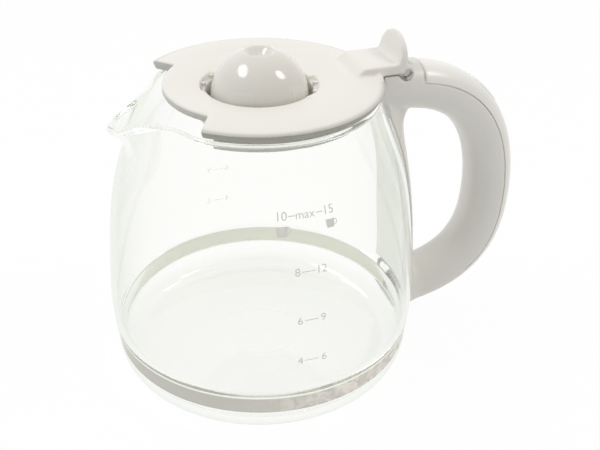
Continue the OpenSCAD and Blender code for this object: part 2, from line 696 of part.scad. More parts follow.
module lid_skirt() {
    skirt_top_h = flange_top_h - plate_t / 2;
    difference() {
        translate([0, 0, skirt_low_h]) cylinder(r = skirt_r, h = skirt_top_h - skirt_low_h);
        translate([0, 0, skirt_low_h - over])
            cylinder(r = skirt_r - skirt_t, h = neck_h);
        spout_wedge(disc_r, skirt_half_a);
    }
}
well_out_r = well_r + recess_depth + well_t;
recess_turns = [-20, 154];
module lid_well() {
    well_top_h = flange_top_h - plate_t / 2 - well_dip / 2;
    recess_low_h = well_floor_h + well_t;
    rib_t = 1.1;
    difference() {
        translate([0, 0, well_floor_h]) cylinder(r = well_out_r, h = well_top_h - well_floor_h);
        translate([0, 0, well_floor_h + well_t]) cylinder(r = well_r, h = neck_h);
        translate([0, 0, well_floor_h - over]) cylinder(r = dome_r - well_t * 2, h = neck_h);
        for (turn = recess_turns) difference() {
            wedge(well_r + recess_depth, recess_half_a, turn, recess_low_h, crown_h + over);
            translate([0, 0, recess_low_h - over]) cylinder(r = well_r - over, h = neck_h);
        }
    }
    for (turn = recess_turns) for (a = [-10, 10]) rotate(turn + a)
        translate([well_r + seat_gap, -rib_t / 2, recess_low_h])
            cube([recess_depth, rib_t, well_top_h - recess_low_h - rib_t]);
}
clip_turns = [52, 128, -52, -128];
clip_w = 9.6;
drain_turns = concat([70, -110], [for (turn = recess_turns) for (a = [-20, 0, 20]) turn + a]);
module lid_floor_cuts() {
    slot_in_r = dome_r - dome_wall - seat_gap * 2;
    for (turn = clip_turns) rotate(turn)
        translate([slot_in_r, -clip_w / 2 - seat_gap, well_floor_h - over])
            cube([dome_wall + seat_gap * 3, clip_w + seat_gap * 2, well_t + over * 2]);
    for (turn = drain_turns) rotate(turn)
        translate([dome_r + seat_gap * 2, -well_t, well_floor_h - over])
            cube([recess_depth, well_t * 2, well_t + over * 2]);
}
// Side view of the tongue and the thumb tab
ramp_l = 15.6;
ramp_x = flange_r - ramp_l;
tab_back_x = pin_x - seat_gap * 3;
module lid_tongue() {
    tab_front_x = tab_back_x - tab_root_t;
    tab_top_h = tongue_top_h + tab_rise;
    half_w = tongue_w / 2;
    translate([0, half_w, 0]) rotate([90, 0, 0]) linear_extrude(tongue_w)
        polygon([[ramp_x, flange_top_h - plate_t / 2], [ramp_x, lid_top(ramp_x) - edge_round / 2],
            [ramp_x + tongue_t * 1.6, tongue_top_h - edge_round], [flange_r, tongue_top_h],
            [tab_back_x, tongue_top_h], [tab_back_x, tongue_under_h],
            [flange_r - plate_t, tongue_under_h], [flange_r - plate_t, flange_top_h - plate_t / 2]]);
    intersection() {
        translate([0, half_w, 0]) rotate([90, 0, 0]) linear_extrude(tongue_w)
            polygon([[tab_front_x, tongue_top_h - edge_round],
                [tab_back_x - tab_tip_t, tab_top_h], [tab_back_x, tab_top_h],
                [tab_back_x, tongue_top_h - edge_round]]);
        translate([tab_front_x - over, 0, tongue_top_h]) rotate([90, 0, 90])
            linear_extrude(tab_root_t + over * 2)
                scale([1, tab_rise / half_w]) circle(r = half_w, $fn = 128);
    }
}
module lid_knuckles() {
    for (side = [0, 1]) mirror([0, side, 0]) {
        translate([pin_x, tongue_w / 2 - knuckle_w, pin_h]) rotate([-90, 0, 0])
            cylinder(d = knuckle_d, h = knuckle_w);
        translate([pin_x - knuckle_d / 2, tongue_w / 2 - knuckle_w, pin_h])
            cube([knuckle_d / 2, knuckle_w, tongue_top_h - pin_h]);
    }
}
module knuckle_cuts() {
    mouth = pin_d * 0.72;
    translate([pin_x, 0, pin_h]) rotate([90, 0, 0])
        cylinder(d = pin_d + pin_clear * 2, h = tongue_w + over, center = true);
    translate([pin_x, -tongue_w, pin_h]) rotate([0, 130, 0]) translate([0, 0, -mouth / 2])
        cube([knuckle_d, tongue_w * 2, mouth]);
    translate([pin_x, 0, pin_h]) rotate([90, 0, 0])
        cylinder(d = boss_d + swing_gap * 2, h = boss_half_w * 2 + seat_gap * 2, center = true);
}
module lid_shell() {
    color(off_white) difference() {
        union() {
            lid_plate();
            lid_skirt();
            lid_well();
            lid_tongue();
            lid_knuckles();
        }
        lid_floor_cuts();
        knuckle_cuts();
        translate([hook_leg_r - hook_t - swing_gap * 2, -hook_room, skirt_low_h - over])
            cube([pin_x, hook_room * 2, tongue_under_h - swing_gap - skirt_low_h + over]);
    }
}
module lid_dome() {
    base_h = well_floor_h + well_t + seat_gap;
    in_r = dome_r - dome_wall;
    rim_a = acos(dimple_rim_r / dome_r);
    in_a = acos((dimple_r + dome_wall) / in_r);
    rim_top_h = dome_h + dome_r * sin(rim_a);
    arc_steps = 16;
    color(off_white) {
        rotate_extrude() polygon(concat(
            [[in_r, base_h], [dome_r, base_h], [dome_r, dome_h]],
            [for (i = [1:arc_steps]) let (a = rim_a * i / arc_steps)
                [dome_r * cos(a), dome_h + dome_r * sin(a)]],
            [[dimple_r, rim_top_h - edge_round / 2], [dimple_r * 0.8, rim_top_h - dimple_depth],
                [0, rim_top_h - dimple_depth], [0, rim_top_h - dimple_depth - dome_wall],
                [dimple_r * 0.8 + dome_wall, rim_top_h - dimple_depth - dome_wall]],
            [for (i = [arc_steps:-1:0]) let (a = in_a * i / arc_steps)
                [in_r * cos(a), dome_h + in_r * sin(a)]]));
        for (turn = clip_turns) rotate(turn) {
            translate([in_r, -clip_w / 2, well_floor_h - dome_wall])
                cube([dome_wall * 0.9, clip_w, dome_wall + well_t + dome_wall]);
            translate([in_r, -clip_w / 2, well_floor_h - dome_wall * 1.4])
                cube([dome_wall * 1.5, clip_w, dome_wall * 1.3]);
        }
    }
}

glass_jug();
clamp_band();
clamp_screw();
clamp_nut();
handle_body();
handle_cover();
cover_screws();
handle_badge();
spine_pad();
hook_sleeve();
hinge_pin();
lid_shell();
lid_dome();
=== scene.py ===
"""Looks of the glass coffee server, in millimetres until a mesh is made."""
import math

import bmesh
import bpy
import numpy as np
from mathutils import Matrix, Vector


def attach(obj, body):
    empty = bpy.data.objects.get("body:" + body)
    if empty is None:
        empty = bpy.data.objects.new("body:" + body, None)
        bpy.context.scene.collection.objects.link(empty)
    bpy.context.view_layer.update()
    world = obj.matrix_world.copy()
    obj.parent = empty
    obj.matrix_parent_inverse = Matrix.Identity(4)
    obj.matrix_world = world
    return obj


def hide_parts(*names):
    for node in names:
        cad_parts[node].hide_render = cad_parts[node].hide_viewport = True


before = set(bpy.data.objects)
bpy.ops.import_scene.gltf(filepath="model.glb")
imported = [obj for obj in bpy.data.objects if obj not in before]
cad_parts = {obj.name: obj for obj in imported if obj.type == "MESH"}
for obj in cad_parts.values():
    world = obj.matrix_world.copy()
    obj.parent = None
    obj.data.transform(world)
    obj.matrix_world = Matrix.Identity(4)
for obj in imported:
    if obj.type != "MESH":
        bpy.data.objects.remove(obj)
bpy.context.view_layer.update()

scene = bpy.context.scene
MM = 0.001


# Camera

EYE = Vector((-104.66, -332.42, 276.35)) * MM
AIM = Vector((16.10, -5.96, 62.93)) * MM
ROLL = math.radians(0.653)
LENS = 55.0


def placed(name, data):
    """An object of the scene that holds a mesh, a lamp or the camera."""
    made = bpy.data.objects.new(name, data)
    scene.collection.objects.link(made)
    return made


def make_camera():
    """The photograph's viewpoint."""
    back = (EYE - AIM).normalized()
    right = Vector((0, 0, 1)).cross(back).normalized()
    level = Matrix((right, back.cross(right), back)).transposed()
    data = bpy.data.cameras.new("camera")
    data.lens = LENS
    data.sensor_fit = "HORIZONTAL"
    data.clip_start = 0.01
    scene.camera = placed("camera", data)
    turn = (level @ Matrix.Rotation(ROLL, 3, "Z")).to_4x4()
    scene.camera.matrix_world = Matrix.Translation(EYE) @ turn


make_camera()


# Mesh tools


def piece_from(name, points, faces, smooth=True):
    """A mesh object from points in millimetres, with its faces turned outwards."""
    mesh = bpy.data.meshes.new(name)
    mesh.from_pydata((np.asarray(points, float) * MM).tolist(), [], [list(f) for f in faces])
    grid = bmesh.new()
    grid.from_mesh(mesh)
    bmesh.ops.recalc_face_normals(grid, faces=grid.faces)
    grid.to_mesh(mesh)
    grid.free()
    if smooth:
        mesh.shade_smooth()
    return placed(name, mesh)


def full_turn(count):
    """Angles evenly round a circle."""
    return np.linspace(0, 2 * np.pi, count, endpoint=False)


def arc(start, end, count):
    """Angles between two ends that are given in degrees."""
    return np.radians(np.linspace(start, end, count))


def polar(radius, angle):
    return (radius * np.cos(angle), radius * np.sin(angle))


def spaced(*runs):
    """Values in several evenly spaced runs."""
    return np.concatenate([np.linspace(*run) for run in runs])


def skinned(name, rings, ends="fan"):
    """A closed skin over rings. Its ends are fans, strips across a channel, or joined as a hoop."""
    rings = np.asarray(rings, float)
    count, around = rings.shape[:2]
    points = rings.reshape(-1, 3)
    last = (count - 1) * around
    row, i = np.meshgrid(np.arange(0, last, around), np.arange(around), indexing="ij")
    a, b = row + i, row + (i + 1) % around
    faces = np.stack([a, b, b + around, a + around], -1).reshape(-1, 4).tolist()
    if ends == "fan":
        points = np.vstack([points, rings[0].mean(0), rings[-1].mean(0)])
        for i in range(around):
            k = (i + 1) % around
            faces += [[k, i, count * around], [last + i, last + k, count * around + 1]]
    elif ends == "strip":
        for i in range(around // 2 - 1):
            a, b = around - 1 - i, around - 2 - i
            faces += [[i, i + 1, b, a], [last + i + 1, last + i, last + a, last + b]]
    elif ends == "hoop":
        faces += [[last + i, last + (i + 1) % around, (i + 1) % around, i] for i in range(around)]
    return piece_from(name, points, faces)


def lathe(name, outline, around=256):
    """A closed outline of radius and height turned about the vertical axis."""
    rings = [[(*polar(r, t), z) for r, z in outline] for t in full_turn(around)]
    return skinned(name, rings, ends="hoop")


def slab(name, outline, place, low, high):
    """A flat outline pushed from low to high. place turns (u, v, w) into a point."""
    count = len(outline)
    points = [place(u, v, w) for w in (low, high) for u, v in outline]
    faces = [list(range(count)), [count + i for i in range(count)]]
    faces += [[i, (i + 1) % count, count + (i + 1) % count, count + i] for i in range(count)]
    return piece_from(name, points, faces, smooth=False)


def upright(u, v, w):
    return (u, v, w)


def side_on(u, v, w):
    return (u, w, v)


ROUND = 64


def drum(name, centre, radius, low, high):
    """A cylinder along Y, for pins, bosses and bores."""
    u, v = polar(radius, full_turn(ROUND))
    return slab(name, list(zip(centre[0] + u, centre[1] + v)), side_on, low, high)


def block(name, low, high):
    """A cutter or filler with flat sides."""
    outline = [(low[0], low[1]), (high[0], low[1]), (high[0], high[1]), (low[0], high[1])]
    return slab(name, outline, upright, low[2], high[2])


def drop(piece):
    mesh = piece.data
    bpy.data.objects.remove(piece)
    bpy.data.meshes.remove(mesh)


def settle(piece):
    """Applies a piece's modifiers."""
    graph = bpy.context.evaluated_depsgraph_get()
    mesh = bpy.data.meshes.new_from_object(piece.evaluated_get(graph), depsgraph=graph)
    old = piece.data
    piece.modifiers.clear()
    piece.data = mesh
    mesh.name = piece.name
    bpy.data.meshes.remove(old)
    return piece


def carve(piece, *cutters):
    """Cuts closed solids out of a piece."""
    for cutter in cutters:
        cut = piece.modifiers.new("cut", "BOOLEAN")
        cut.operation = "DIFFERENCE"
        cut.solver = "EXACT"
        cut.object = cutter
        settle(piece)
        drop(cutter)
    return piece


def gathered(name, pieces):
    """One object that holds the meshes of several."""
    whole = bmesh.new()
    for piece in pieces:
        whole.from_mesh(piece.data)
        drop(piece)
    mesh = bpy.data.meshes.new(name)
    whole.to_mesh(mesh)
    whole.free()
    return placed(name, mesh)


LID_VOXEL, BODY_VOXEL = 0.5, 0.6


def moulded(piece, voxel, passes):
    """Melts overlapping solids into one skin whose edges are rounded as on a moulding."""
    melt = piece.modifiers.new("melt", "REMESH")
    melt.mode = "VOXEL"
    melt.voxel_size = voxel * MM
    ease = piece.modifiers.new("ease", "SMOOTH")
    ease.factor = 0.5
    ease.iterations = passes
    settle(piece)
    piece.data.shade_smooth()
    return piece


def smooth_step(t):
    t = np.clip(t, 0, 1)
    return t * t * (3 - 2 * t)


def bell(a, middle, width):
    return np.exp(-(((a - middle) / width) ** 2))


def bezier(points, t):
    p = np.asarray(points, float)
    t = np.asarray(t, float)[..., None]
    return (1 - t) ** 3 * p[0] + 3 * (1 - t) ** 2 * t * p[1] + 3 * (1 - t) * t * t * p[2] + t**3 * p[3]


# Sizes of the glass

FOOT_R = 57.0
HEEL_R, HEEL_H = 66.8, 12.2
BELLY_R, BELLY_LOW_H, BELLY_HIGH_H = 68.9, 30.6, 33.8
WAIST_R, WAIST_H = 67.1, 55.9
SHOULDER_H = 99.8
NECK_PULL_R, NECK_PULL_H = 57.7, 99.4
RIM_R, RIM_H = 49.2, 127.2
WALL_T, FLOOR_T = 2.1, 3.4
PUSH_UP, PUSH_R = 2.2, 44.0
MARK_R, MARK_T = 16.6, 0.15
SPOUT_START_H = 100.0
SPOUT_REACH, SPOUT_DROP, SPOUT_PINCH = 14.3, 8.4, 2.8
BAND_LOW_H, BAND_W, BAND_R, BAND_T = 12.7, 8.3, 66.5, 0.5
BAND_MID_H = BAND_LOW_H + BAND_W / 2
BAND_HIGH_H = BAND_LOW_H + BAND_W
GROOVE_R = BAND_R - BAND_T - 0.1

shoulder_slope = (WAIST_R - BELLY_R) / (WAIST_H - BELLY_HIGH_H)
curve_steps = np.linspace(0, 1, 120)
belly = bezier([(HEEL_R, HEEL_H), (BELLY_R, BELLY_LOW_H), (BELLY_R, BELLY_HIGH_H), (WAIST_R, WAIST_H)],
               curve_steps)
shoulder = bezier([(WAIST_R, WAIST_H), (WAIST_R + shoulder_slope * (SHOULDER_H - WAIST_H), SHOULDER_H),
                   (NECK_PULL_R, NECK_PULL_H), (RIM_R, RIM_H)], curve_steps)
wall_line = np.vstack([belly[:-1], shoulder])


def glass_r(height):
    """Outer radius of the jug's round wall."""
    return np.interp(height, wall_line[:, 1], wall_line[:, 0])


GROOVE_DEPTH = glass_r(BAND_MID_H) - GROOVE_R


def neck_surface(turn, rise):
    """Outer surface from the heel to the rim. turn is in degrees from the spout, rise in heights."""
    off = np.abs((turn + 180) % 360 - 180)
    t = np.clip((rise - SPOUT_START_H) / (RIM_H - SPOUT_START_H), 0, 1)
    out = SPOUT_REACH * bell(off, 0, 13) - SPOUT_PINCH * bell(off, 29, 11)
    radius = glass_r(rise) + out * t**2.5
    top = RIM_H - SPOUT_DROP * bell(off, 0, 15)
    height = np.where(rise > SPOUT_START_H, SPOUT_START_H + (top - SPOUT_START_H) * t, rise)
    return np.stack([*polar(radius, np.radians(180 + turn)), height], -1)


def flat_rings(outline, turns):
    return [np.stack([*polar(r, np.radians(180 + turns)), np.full_like(turns, z)], -1) for r, z in outline]


def make_glass():
    """The jug as one skin: under the base, up the wall, over the beaded rim and down inside."""
    turns = np.linspace(0, 360, 288, endpoint=False)
    below = []
    for r in spaced((1, 14, 5), (15, 18.2, 17), (20, 46, 18), (48, FOOT_R, 4)):
        lift = PUSH_UP * (1 - smooth_step((r - 12) / (PUSH_R + 4 - 12)))
        below.append((r, lift + MARK_T * bell(r, MARK_R, 0.9)))
    heel = [(FOOT_R + (HEEL_R - FOOT_R) * math.sin(a), HEEL_H * (1 - math.cos(a))) for a in arc(6, 84, 14)]
    rises = spaced((HEEL_H, BAND_LOW_H - 0.3, 2), (BAND_LOW_H - 0.2, BAND_LOW_H, 3),
                   (BAND_LOW_H + 1, BAND_HIGH_H - 1, 5), (BAND_HIGH_H, BAND_HIGH_H + 0.3, 4),
                   (BAND_HIGH_H + 1, SPOUT_START_H, 44), (SPOUT_START_H + 1.2, RIM_H - 1.2, 30))
    grid_turn, grid_rise = np.meshgrid(turns, rises)
    outer = neck_surface(grid_turn, grid_rise)
    side = np.roll(outer, -1, axis=1) - np.roll(outer, 1, axis=1)
    step = neck_surface(grid_turn, grid_rise + 0.2) - neck_surface(grid_turn, grid_rise - 0.2)
    normal = np.cross(side, step)
    normal /= np.linalg.norm(normal, axis=-1, keepdims=True)
    along = step / np.linalg.norm(step, axis=-1, keepdims=True)
    sunk = GROOVE_DEPTH * bell(grid_rise, BAND_MID_H, BAND_W * 0.7)
    inner = outer - normal * (WALL_T + sunk)[..., None]
    in_band = (grid_rise > BAND_LOW_H - 0.1) & (grid_rise < BAND_HIGH_H + 0.1)
    groove_cut = np.where(in_band, glass_r(grid_rise) - GROOVE_R, 0)
    outer = outer - normal * groove_cut[..., None]
    # The bead sits on the last ring, a little fatter than the wall, and fattest at the spout
    off = 180 - np.abs(turns - 180)
    bead = WALL_T / 2 + 0.02 + 0.3 * bell(off, 0, 8)
    middle = (outer[-1] + inner[-1]) / 2
    beads = [middle + bead[:, None] * (normal[-1] * math.cos(a) + along[-1] * math.sin(a))
             for a in arc(-30, 210, 15)]
    heel_run = glass_r(HEEL_H) - WALL_T - FOOT_R - GROOVE_DEPTH * 0.62
    inner_heel = [(FOOT_R + heel_run * math.sin(a), HEEL_H - (HEEL_H - FLOOR_T) * math.cos(a))
                  for a in arc(84, 0, 13)]
    floor = [(r, FLOOR_T + PUSH_UP * 0.6 * (1 - smooth_step((r - 10) / (PUSH_R + 4 - 10))))
             for r in spaced((54, 46, 4), (44, 20, 15), (18.2, 15, 15), (13, 1, 5))]
    rings = (flat_rings(below + heel, turns) + list(outer) + beads + list(inner[::-1])
             + flat_rings(inner_heel + floor, turns))
    return skinned("glass_jug_clear", rings)


# Sizes of the handle

GRIP_X, GRIP_H, NECK_H, FOOT_H = 113.0, 63.0, 122.0, 16.6
GRIP_W = 22.8
NECK_D, GRIP_D, FOOT_D = 20.6, 21.0, 20.4
BODY_WALL, COVER_WALL = 2.4, 2.0
SEAM_LIFT, SEAM_GAP = 3.8, 0.06
COVER_FRONT_X = 70.0
NECK_START_X, NECK_PULL = 60.0, 42.0
FOOT_PULL, FOOT_SLOPE = 42.0, math.radians(4)
GLASS_GAP, PAD_T = 0.35, 0.8
PAD_ROOM = GLASS_GAP + PAD_T + 0.1
FOOT_END_X = float(glass_r(BAND_MID_H)) + GLASS_GAP
TOP_CURVE = [(NECK_START_X, NECK_H), (NECK_START_X + NECK_PULL, NECK_H),
             (GRIP_X, GRIP_H + 27), (GRIP_X, GRIP_H)]
LOW_CURVE = [(GRIP_X, GRIP_H), (GRIP_X, GRIP_H - 18),
             (FOOT_END_X + FOOT_PULL * math.cos(FOOT_SLOPE), FOOT_H + FOOT_PULL * math.sin(FOOT_SLOPE)),
             (FOOT_END_X, FOOT_H)]
SQUARENESS = 0.84
FRONT_RUN = NECK_PULL * 2.86
NECK_SOLID_U, FOOT_SOLID_U = (COVER_FRONT_X - NECK_START_X) / FRONT_RUN, 1.66
FOOT_BLEND_U, FOOT_FLARE = 1.9, 1.38
RECESS_HALF_W, POCKET_HALF_W, POCKET_HALF_H, POCKET_L = 12.6, 8.4, 4.25, 9.5
SCREW_OUT, SCREW_WAY_R = 5.2, 3.8


def handle_mid(u):
    u = np.asarray(u, float)[..., None]
    top = bezier(TOP_CURVE, np.clip(u[..., 0], 0, 1))
    low = bezier(LOW_CURVE, np.clip(u[..., 0] - 1, 0, 1))
    return np.where(u < 0, np.array([NECK_START_X, NECK_H]) + u * np.array([NECK_START_X, 0]),
                    np.where(u <= 1, top, low))


def handle_along(u):
    d = handle_mid(np.minimum(2, np.asarray(u) + 0.01)) - handle_mid(np.asarray(u) - 0.01)
    return d / np.linalg.norm(d, axis=-1, keepdims=True)


def handle_depth(u):
    u = np.asarray(u, float)
    top = NECK_D + (GRIP_D - NECK_D) * smooth_step(u)
    low = GRIP_D + (FOOT_D - GRIP_D) * smooth_step(u - 1)
    return np.where(u < 1, top, low) / 2


def handle_point(u, lift, y):
    """A point of the handle: lift is along the outward normal, y sideways."""
    mid, along = handle_mid(u), handle_along(u)
    return np.stack([mid[..., 0] - along[..., 1] * lift, y + 0 * mid[..., 0],
                     mid[..., 1] + along[..., 0] * lift], -1)


def oval(angle, half_d, half_w):
    c, s = np.cos(angle), np.sin(angle)
    return (half_d * np.sign(c) * np.abs(c) ** SQUARENESS, half_w * np.sign(s) * np.abs(s) ** SQUARENESS)


def seam_angle(lift, half_d):
    return math.acos((lift / half_d) ** (1 / SQUARENESS))


def full_ring(u):
    return handle_point(u, *oval(full_turn(ROUND), float(handle_depth(u)), GRIP_W / 2))


def channel_rings(places, wall, lift, upper):
    """Rings of a shell that is open at the seam, outside first and then back inside."""
    rings = []
    for u in places:
        half_d = float(handle_depth(u))
        a, b = seam_angle(lift, half_d), seam_angle(lift, half_d - wall)
        out, back = ((-a, a), (b, -b)) if upper else ((a, 2 * np.pi - a), (2 * np.pi - b, b))
        outer = oval(np.linspace(*out, 56), half_d, GRIP_W / 2)
        inner = oval(np.linspace(*back, 56), half_d - wall, GRIP_W / 2 - wall)
        rings.append(handle_point(u, *np.hstack([outer, inner])))
    return rings


def on_glass(y, z, gap):
    r = glass_r(np.minimum(z, RIM_H)) + gap
    return np.stack([np.sqrt(r * r - y * y), y + 0 * z, z + 0 * y], -1)


def glass_face(half_h, half_w, middle_h, gap, flip):
    """Rings that cover an oval patch lying on the glass, from its middle to its edge."""
    rings = []
    for share in (0.03, 0.25, 0.5, 0.75, 1.0):
        lift, y = oval(full_turn(ROUND), half_h * share, half_w * share)
        rings.append(on_glass(y, middle_h + flip * lift, gap))
    return rings


# Spine along the glass

SPINE_LOW_H, SPINE_HIGH_H = BAND_HIGH_H + BAND_W * 0.43, NECK_H
SPINE_HALF_W, SPINE_T, SPINE_EDGE_T = 16.5, 3.6, 0.6
SPINE_WIDTHS = [(0, 0.97), (0.18, 1), (0.35, 1), (0.52, 0.9),
                (0.65, 0.8), (0.78, 0.72), (0.88, 0.69), (1, 0.69)]
SPINE_DEPTHS = [(0, 1.9), (0.07, 1.35), (0.2, 1), (0.6, 1.05), (0.74, 1.3),
                (0.82, 1.8), (0.87, 2.6), (0.91, 4), (1, 6)]


def eased(table, t):
    """A table of shares read smoothly."""
    places, shares = zip(*table)
    spread = np.linspace(-0.04, 0.04, 9)
    return np.mean([np.interp(np.clip(t + s, 0, 1), places, shares) for s in spread], axis=0)


def spine_rings(heights, gap, thick, edge, narrow, points=40):
    rings = []
    for z in heights:
        t = (z - SPINE_LOW_H) / (SPINE_HIGH_H - SPINE_LOW_H)
        width = SPINE_HALF_W * eased(SPINE_WIDTHS, t) - narrow
        depth = thick if thick == edge else thick * eased(SPINE_DEPTHS, t)
        s = np.linspace(-1, 1, points)
        near = on_glass(width * s, np.full(points, z), gap)
        far = on_glass(width * s[::-1], np.full(points, z), gap)
        far[:, 0] += edge + (depth - edge) * (1 - s[::-1] ** 2)
        rings.append(np.vstack([near, far]))
    return rings


# Sizes of the lid

FLANGE_R, LID_H, CROWN_RISE = 51.2, 131.1, 0.9
PLATE_T, FLANGE_EDGE_T, UNDERCUT, DISC_LIP_T = 2.4, 3.5, 1.7, 2.3
DISC_R = 39.4
NOTCH_IN, NOTCH_OUT = (137.0, 223.0), (135.2, 228.0)
SKIRT_R, SKIRT_LOW_H, SKIRT_T, SKIRT_A = 46.0, 122.0, 1.8, 50.0
WELL_R, WELL_DIP, WELL_FLOOR_H, WELL_T = 22.0, 1.6, 117.6, 1.6
RECESS_DEPTH, RECESS_A, RECESS_TURNS, RECESS_FLOOR_H = 2.0, 24.0, (-20.0, 154.0), 128.1
PIN_X, PIN_H, PIN_D = 61.5, 131.0, 3.4
KNUCKLE_D, KNUCKLE_W = 6.4, 2.6
TONGUE_W, TONGUE_T = 22.8, 4.5
TAB_RISE, TAB_ROOT_T, TAB_TIP_T, ROOT_ROUND = 11.0, 3.4, 1.9, 2.0
RAMP_L, EAR_R = 15.6, 1.8
TONGUE_UNDER_H = PIN_H - 0.2
TONGUE_TOP_H = TONGUE_UNDER_H + TONGUE_T
TAB_BACK_X = PIN_X - 0.3
BOSS_HALF_W = TONGUE_W / 2 - KNUCKLE_W - 0.2
BOSS_D = KNUCKLE_D - 0.4
HOOK_HALF_W, HOOK_T, HOOK_L, HOOK_PAD_T = 5.0, 2.0, 20.0, 0.7
HOOK_LEG_R = RIM_R - WALL_T - GLASS_GAP - HOOK_PAD_T
SWING = 0.4
MOUTH_TURN = math.radians(-130)


def arc_block(name, r_in, r_out, low, high, inner, outer, steps=48):
    """A solid ring sector. inner and outer are its two end angles at both radii, in degrees."""
    rings = []
    for share in np.linspace(0, 1, steps):
        near = polar(r_in, math.radians(inner[0] + (inner[1] - inner[0]) * share))
        far = polar(r_out, math.radians(outer[0] + (outer[1] - outer[0]) * share))
        rings.append([(*near, low), (*far, low), (*far, high), (*near, high)])
    return skinned(name, rings, ends="strip")


def about(middle, half):
    return (middle - half, middle + half)


def lid_top_line():
    crown = LID_H + CROWN_RISE
    span = FLANGE_R - WELL_R
    return bezier([(WELL_R, LID_H - WELL_DIP), (WELL_R + span * 0.22, crown + CROWN_RISE),
                   (FLANGE_R - span * 0.2, crown + CROWN_RISE * 0.9), (FLANGE_R, LID_H)],
                  np.linspace(0, 1, 40))


def lid_plate():
    top = lid_top_line()
    inner_r, lip_r, edge_h = FLANGE_R - PLATE_T, DISC_R - 1.8, LID_H - FLANGE_EDGE_T
    under = [(r, z - PLATE_T) for r, z in top if r < inner_r][::-4]
    side = [(FLANGE_R, LID_H - 0.6), (FLANGE_R - UNDERCUT, edge_h), (inner_r, edge_h),
            (inner_r, LID_H - PLATE_T)]
    plate = lathe("plate", [tuple(p) for p in top] + side + under, around=360)
    notch = arc_block("notch", DISC_R, FLANGE_R + 2, SKIRT_LOW_H, LID_H + 4, NOTCH_IN, NOTCH_OUT)
    lip = arc_block("lip", lip_r, DISC_R, LID_H - DISC_LIP_T, LID_H - 1, NOTCH_IN, NOTCH_IN)
    ends = [arc_block("end", lip_r, FLANGE_R - UNDERCUT, edge_h, LID_H - 1,
                      (NOTCH_IN[k] + turn, NOTCH_IN[k]), (NOTCH_OUT[k] + turn, NOTCH_OUT[k]), steps=4)
            for k, turn in ((0, -2.0), (1, 2.0))]
    return carve(plate, notch), [lip] + ends


def lid_skirt():
    inner_r, top = SKIRT_R - SKIRT_T, LID_H - 1.2
    outline = [(inner_r, SKIRT_LOW_H), (SKIRT_R, SKIRT_LOW_H), (SKIRT_R, top), (inner_r, top)]
    ends = about(180, SKIRT_A)
    way = arc_block("way", DISC_R, FLANGE_R, SKIRT_LOW_H - 1, LID_H + 1, ends, ends)
    return carve(lathe("skirt", outline, around=360), way)


def lid_well():
    top = LID_H - WELL_DIP - PLATE_T / 2
    out_r = WELL_R + RECESS_DEPTH + WELL_T
    hole_r = DOME_R - WELL_T * 2
    recess_low = WELL_FLOOR_H + WELL_T
    return lathe("well", [(hole_r, WELL_FLOOR_H), (out_r, WELL_FLOOR_H), (out_r, top), (WELL_R, top),
                          (WELL_R, recess_low), (hole_r, recess_low)])


def lid_recess(middle):
    ends = about(middle, RECESS_A)
    return arc_block("recess", WELL_R - 1.5, WELL_R + RECESS_DEPTH, RECESS_FLOOR_H,
                     LID_H + 2, ends, ends)


def lid_tongue():
    """Side view of the tongue: it swings up out of the crown and runs level to the pin."""
    ramp_x, inner_r, low = FLANGE_R - RAMP_L, FLANGE_R - PLATE_T, LID_H + 0.5
    rise = [(ramp_x + TONGUE_T * 1.6 * t, low + (TONGUE_TOP_H - low) * smooth_step(t))
            for t in np.linspace(0, 1, 14)]
    outline = [(ramp_x - 3, LID_H - 1)] + rise + [
        (TAB_BACK_X, TONGUE_TOP_H), (TAB_BACK_X, TONGUE_UNDER_H), (inner_r, TONGUE_UNDER_H),
        (inner_r, LID_H - 1.4), (ramp_x - 3, LID_H - 1.4)]
    return slab("tongue", outline, side_on, -TONGUE_W / 2, TONGUE_W / 2)


def lid_tab():
    """Half-round thumb tab that thins towards its tip, with a hollow round at its root."""
    half, low = TONGUE_W / 2, TONGUE_TOP_H
    front, tip = TAB_BACK_X - TAB_ROOT_T, low + TAB_RISE + 0.5
    outline = [(half * math.cos(a), low + TAB_RISE * math.sin(a) ** 0.92) for a in arc(0, 180, 49)]
    outline += [(-half, low - 1), (half, low - 1)]
    tab = slab("tab", outline, lambda u, v, w: (w, u, v), front - 1, TAB_BACK_X)
    shave = [(front - 3, low - 2), (front, low - 2), (front, low),
             (TAB_BACK_X - TAB_TIP_T, tip), (front - 3, tip)]
    carve(tab, slab("shave", shave, side_on, -half - 1, half + 1))
    hollow = [(front - ROOT_ROUND + ROOT_ROUND * math.sin(a), low + ROOT_ROUND - ROOT_ROUND * math.cos(a))
              for a in arc(0, 90, 10)]
    root = [(front + 0.8, low + ROOT_ROUND), (front + 0.8, low - 1), (front - ROOT_ROUND, low - 1)]
    return [tab, slab("root", hollow + root, side_on, -half + 0.8, half - 0.8)]


def lid_ears():
    """Rolled corners of the flange on both sides of the tongue."""
    ears = []
    for side in (-1, 1):
        rings = []
        for k, turn in enumerate(side * arc(13.2, 18.6, 14)):
            r = EAR_R * math.sqrt(max(0.02, 1 - (abs(k - 6.5) / 7.2) ** 4))
            rings.append([(*polar(FLANGE_R - 1.9 + u, turn), LID_H - 0.1 + v)
                          for u, v in (polar(r, a) for a in full_turn(20))])
        ears.append(skinned("ear", rings))
    return ears


def both_sides(near, far):
    """The spans along Y from near to far on either side of the middle."""
    return ((-far, -near), (near, far))


def lid_knuckles():
    parts = []
    for low, high in both_sides(TONGUE_W / 2 - KNUCKLE_W, TONGUE_W / 2):
        parts.append(drum("knuckle", (PIN_X, PIN_H), KNUCKLE_D / 2, low, high))
        parts.append(block("web", (PIN_X - KNUCKLE_D / 2, low, PIN_H), (PIN_X, high, TONGUE_TOP_H)))
    return parts


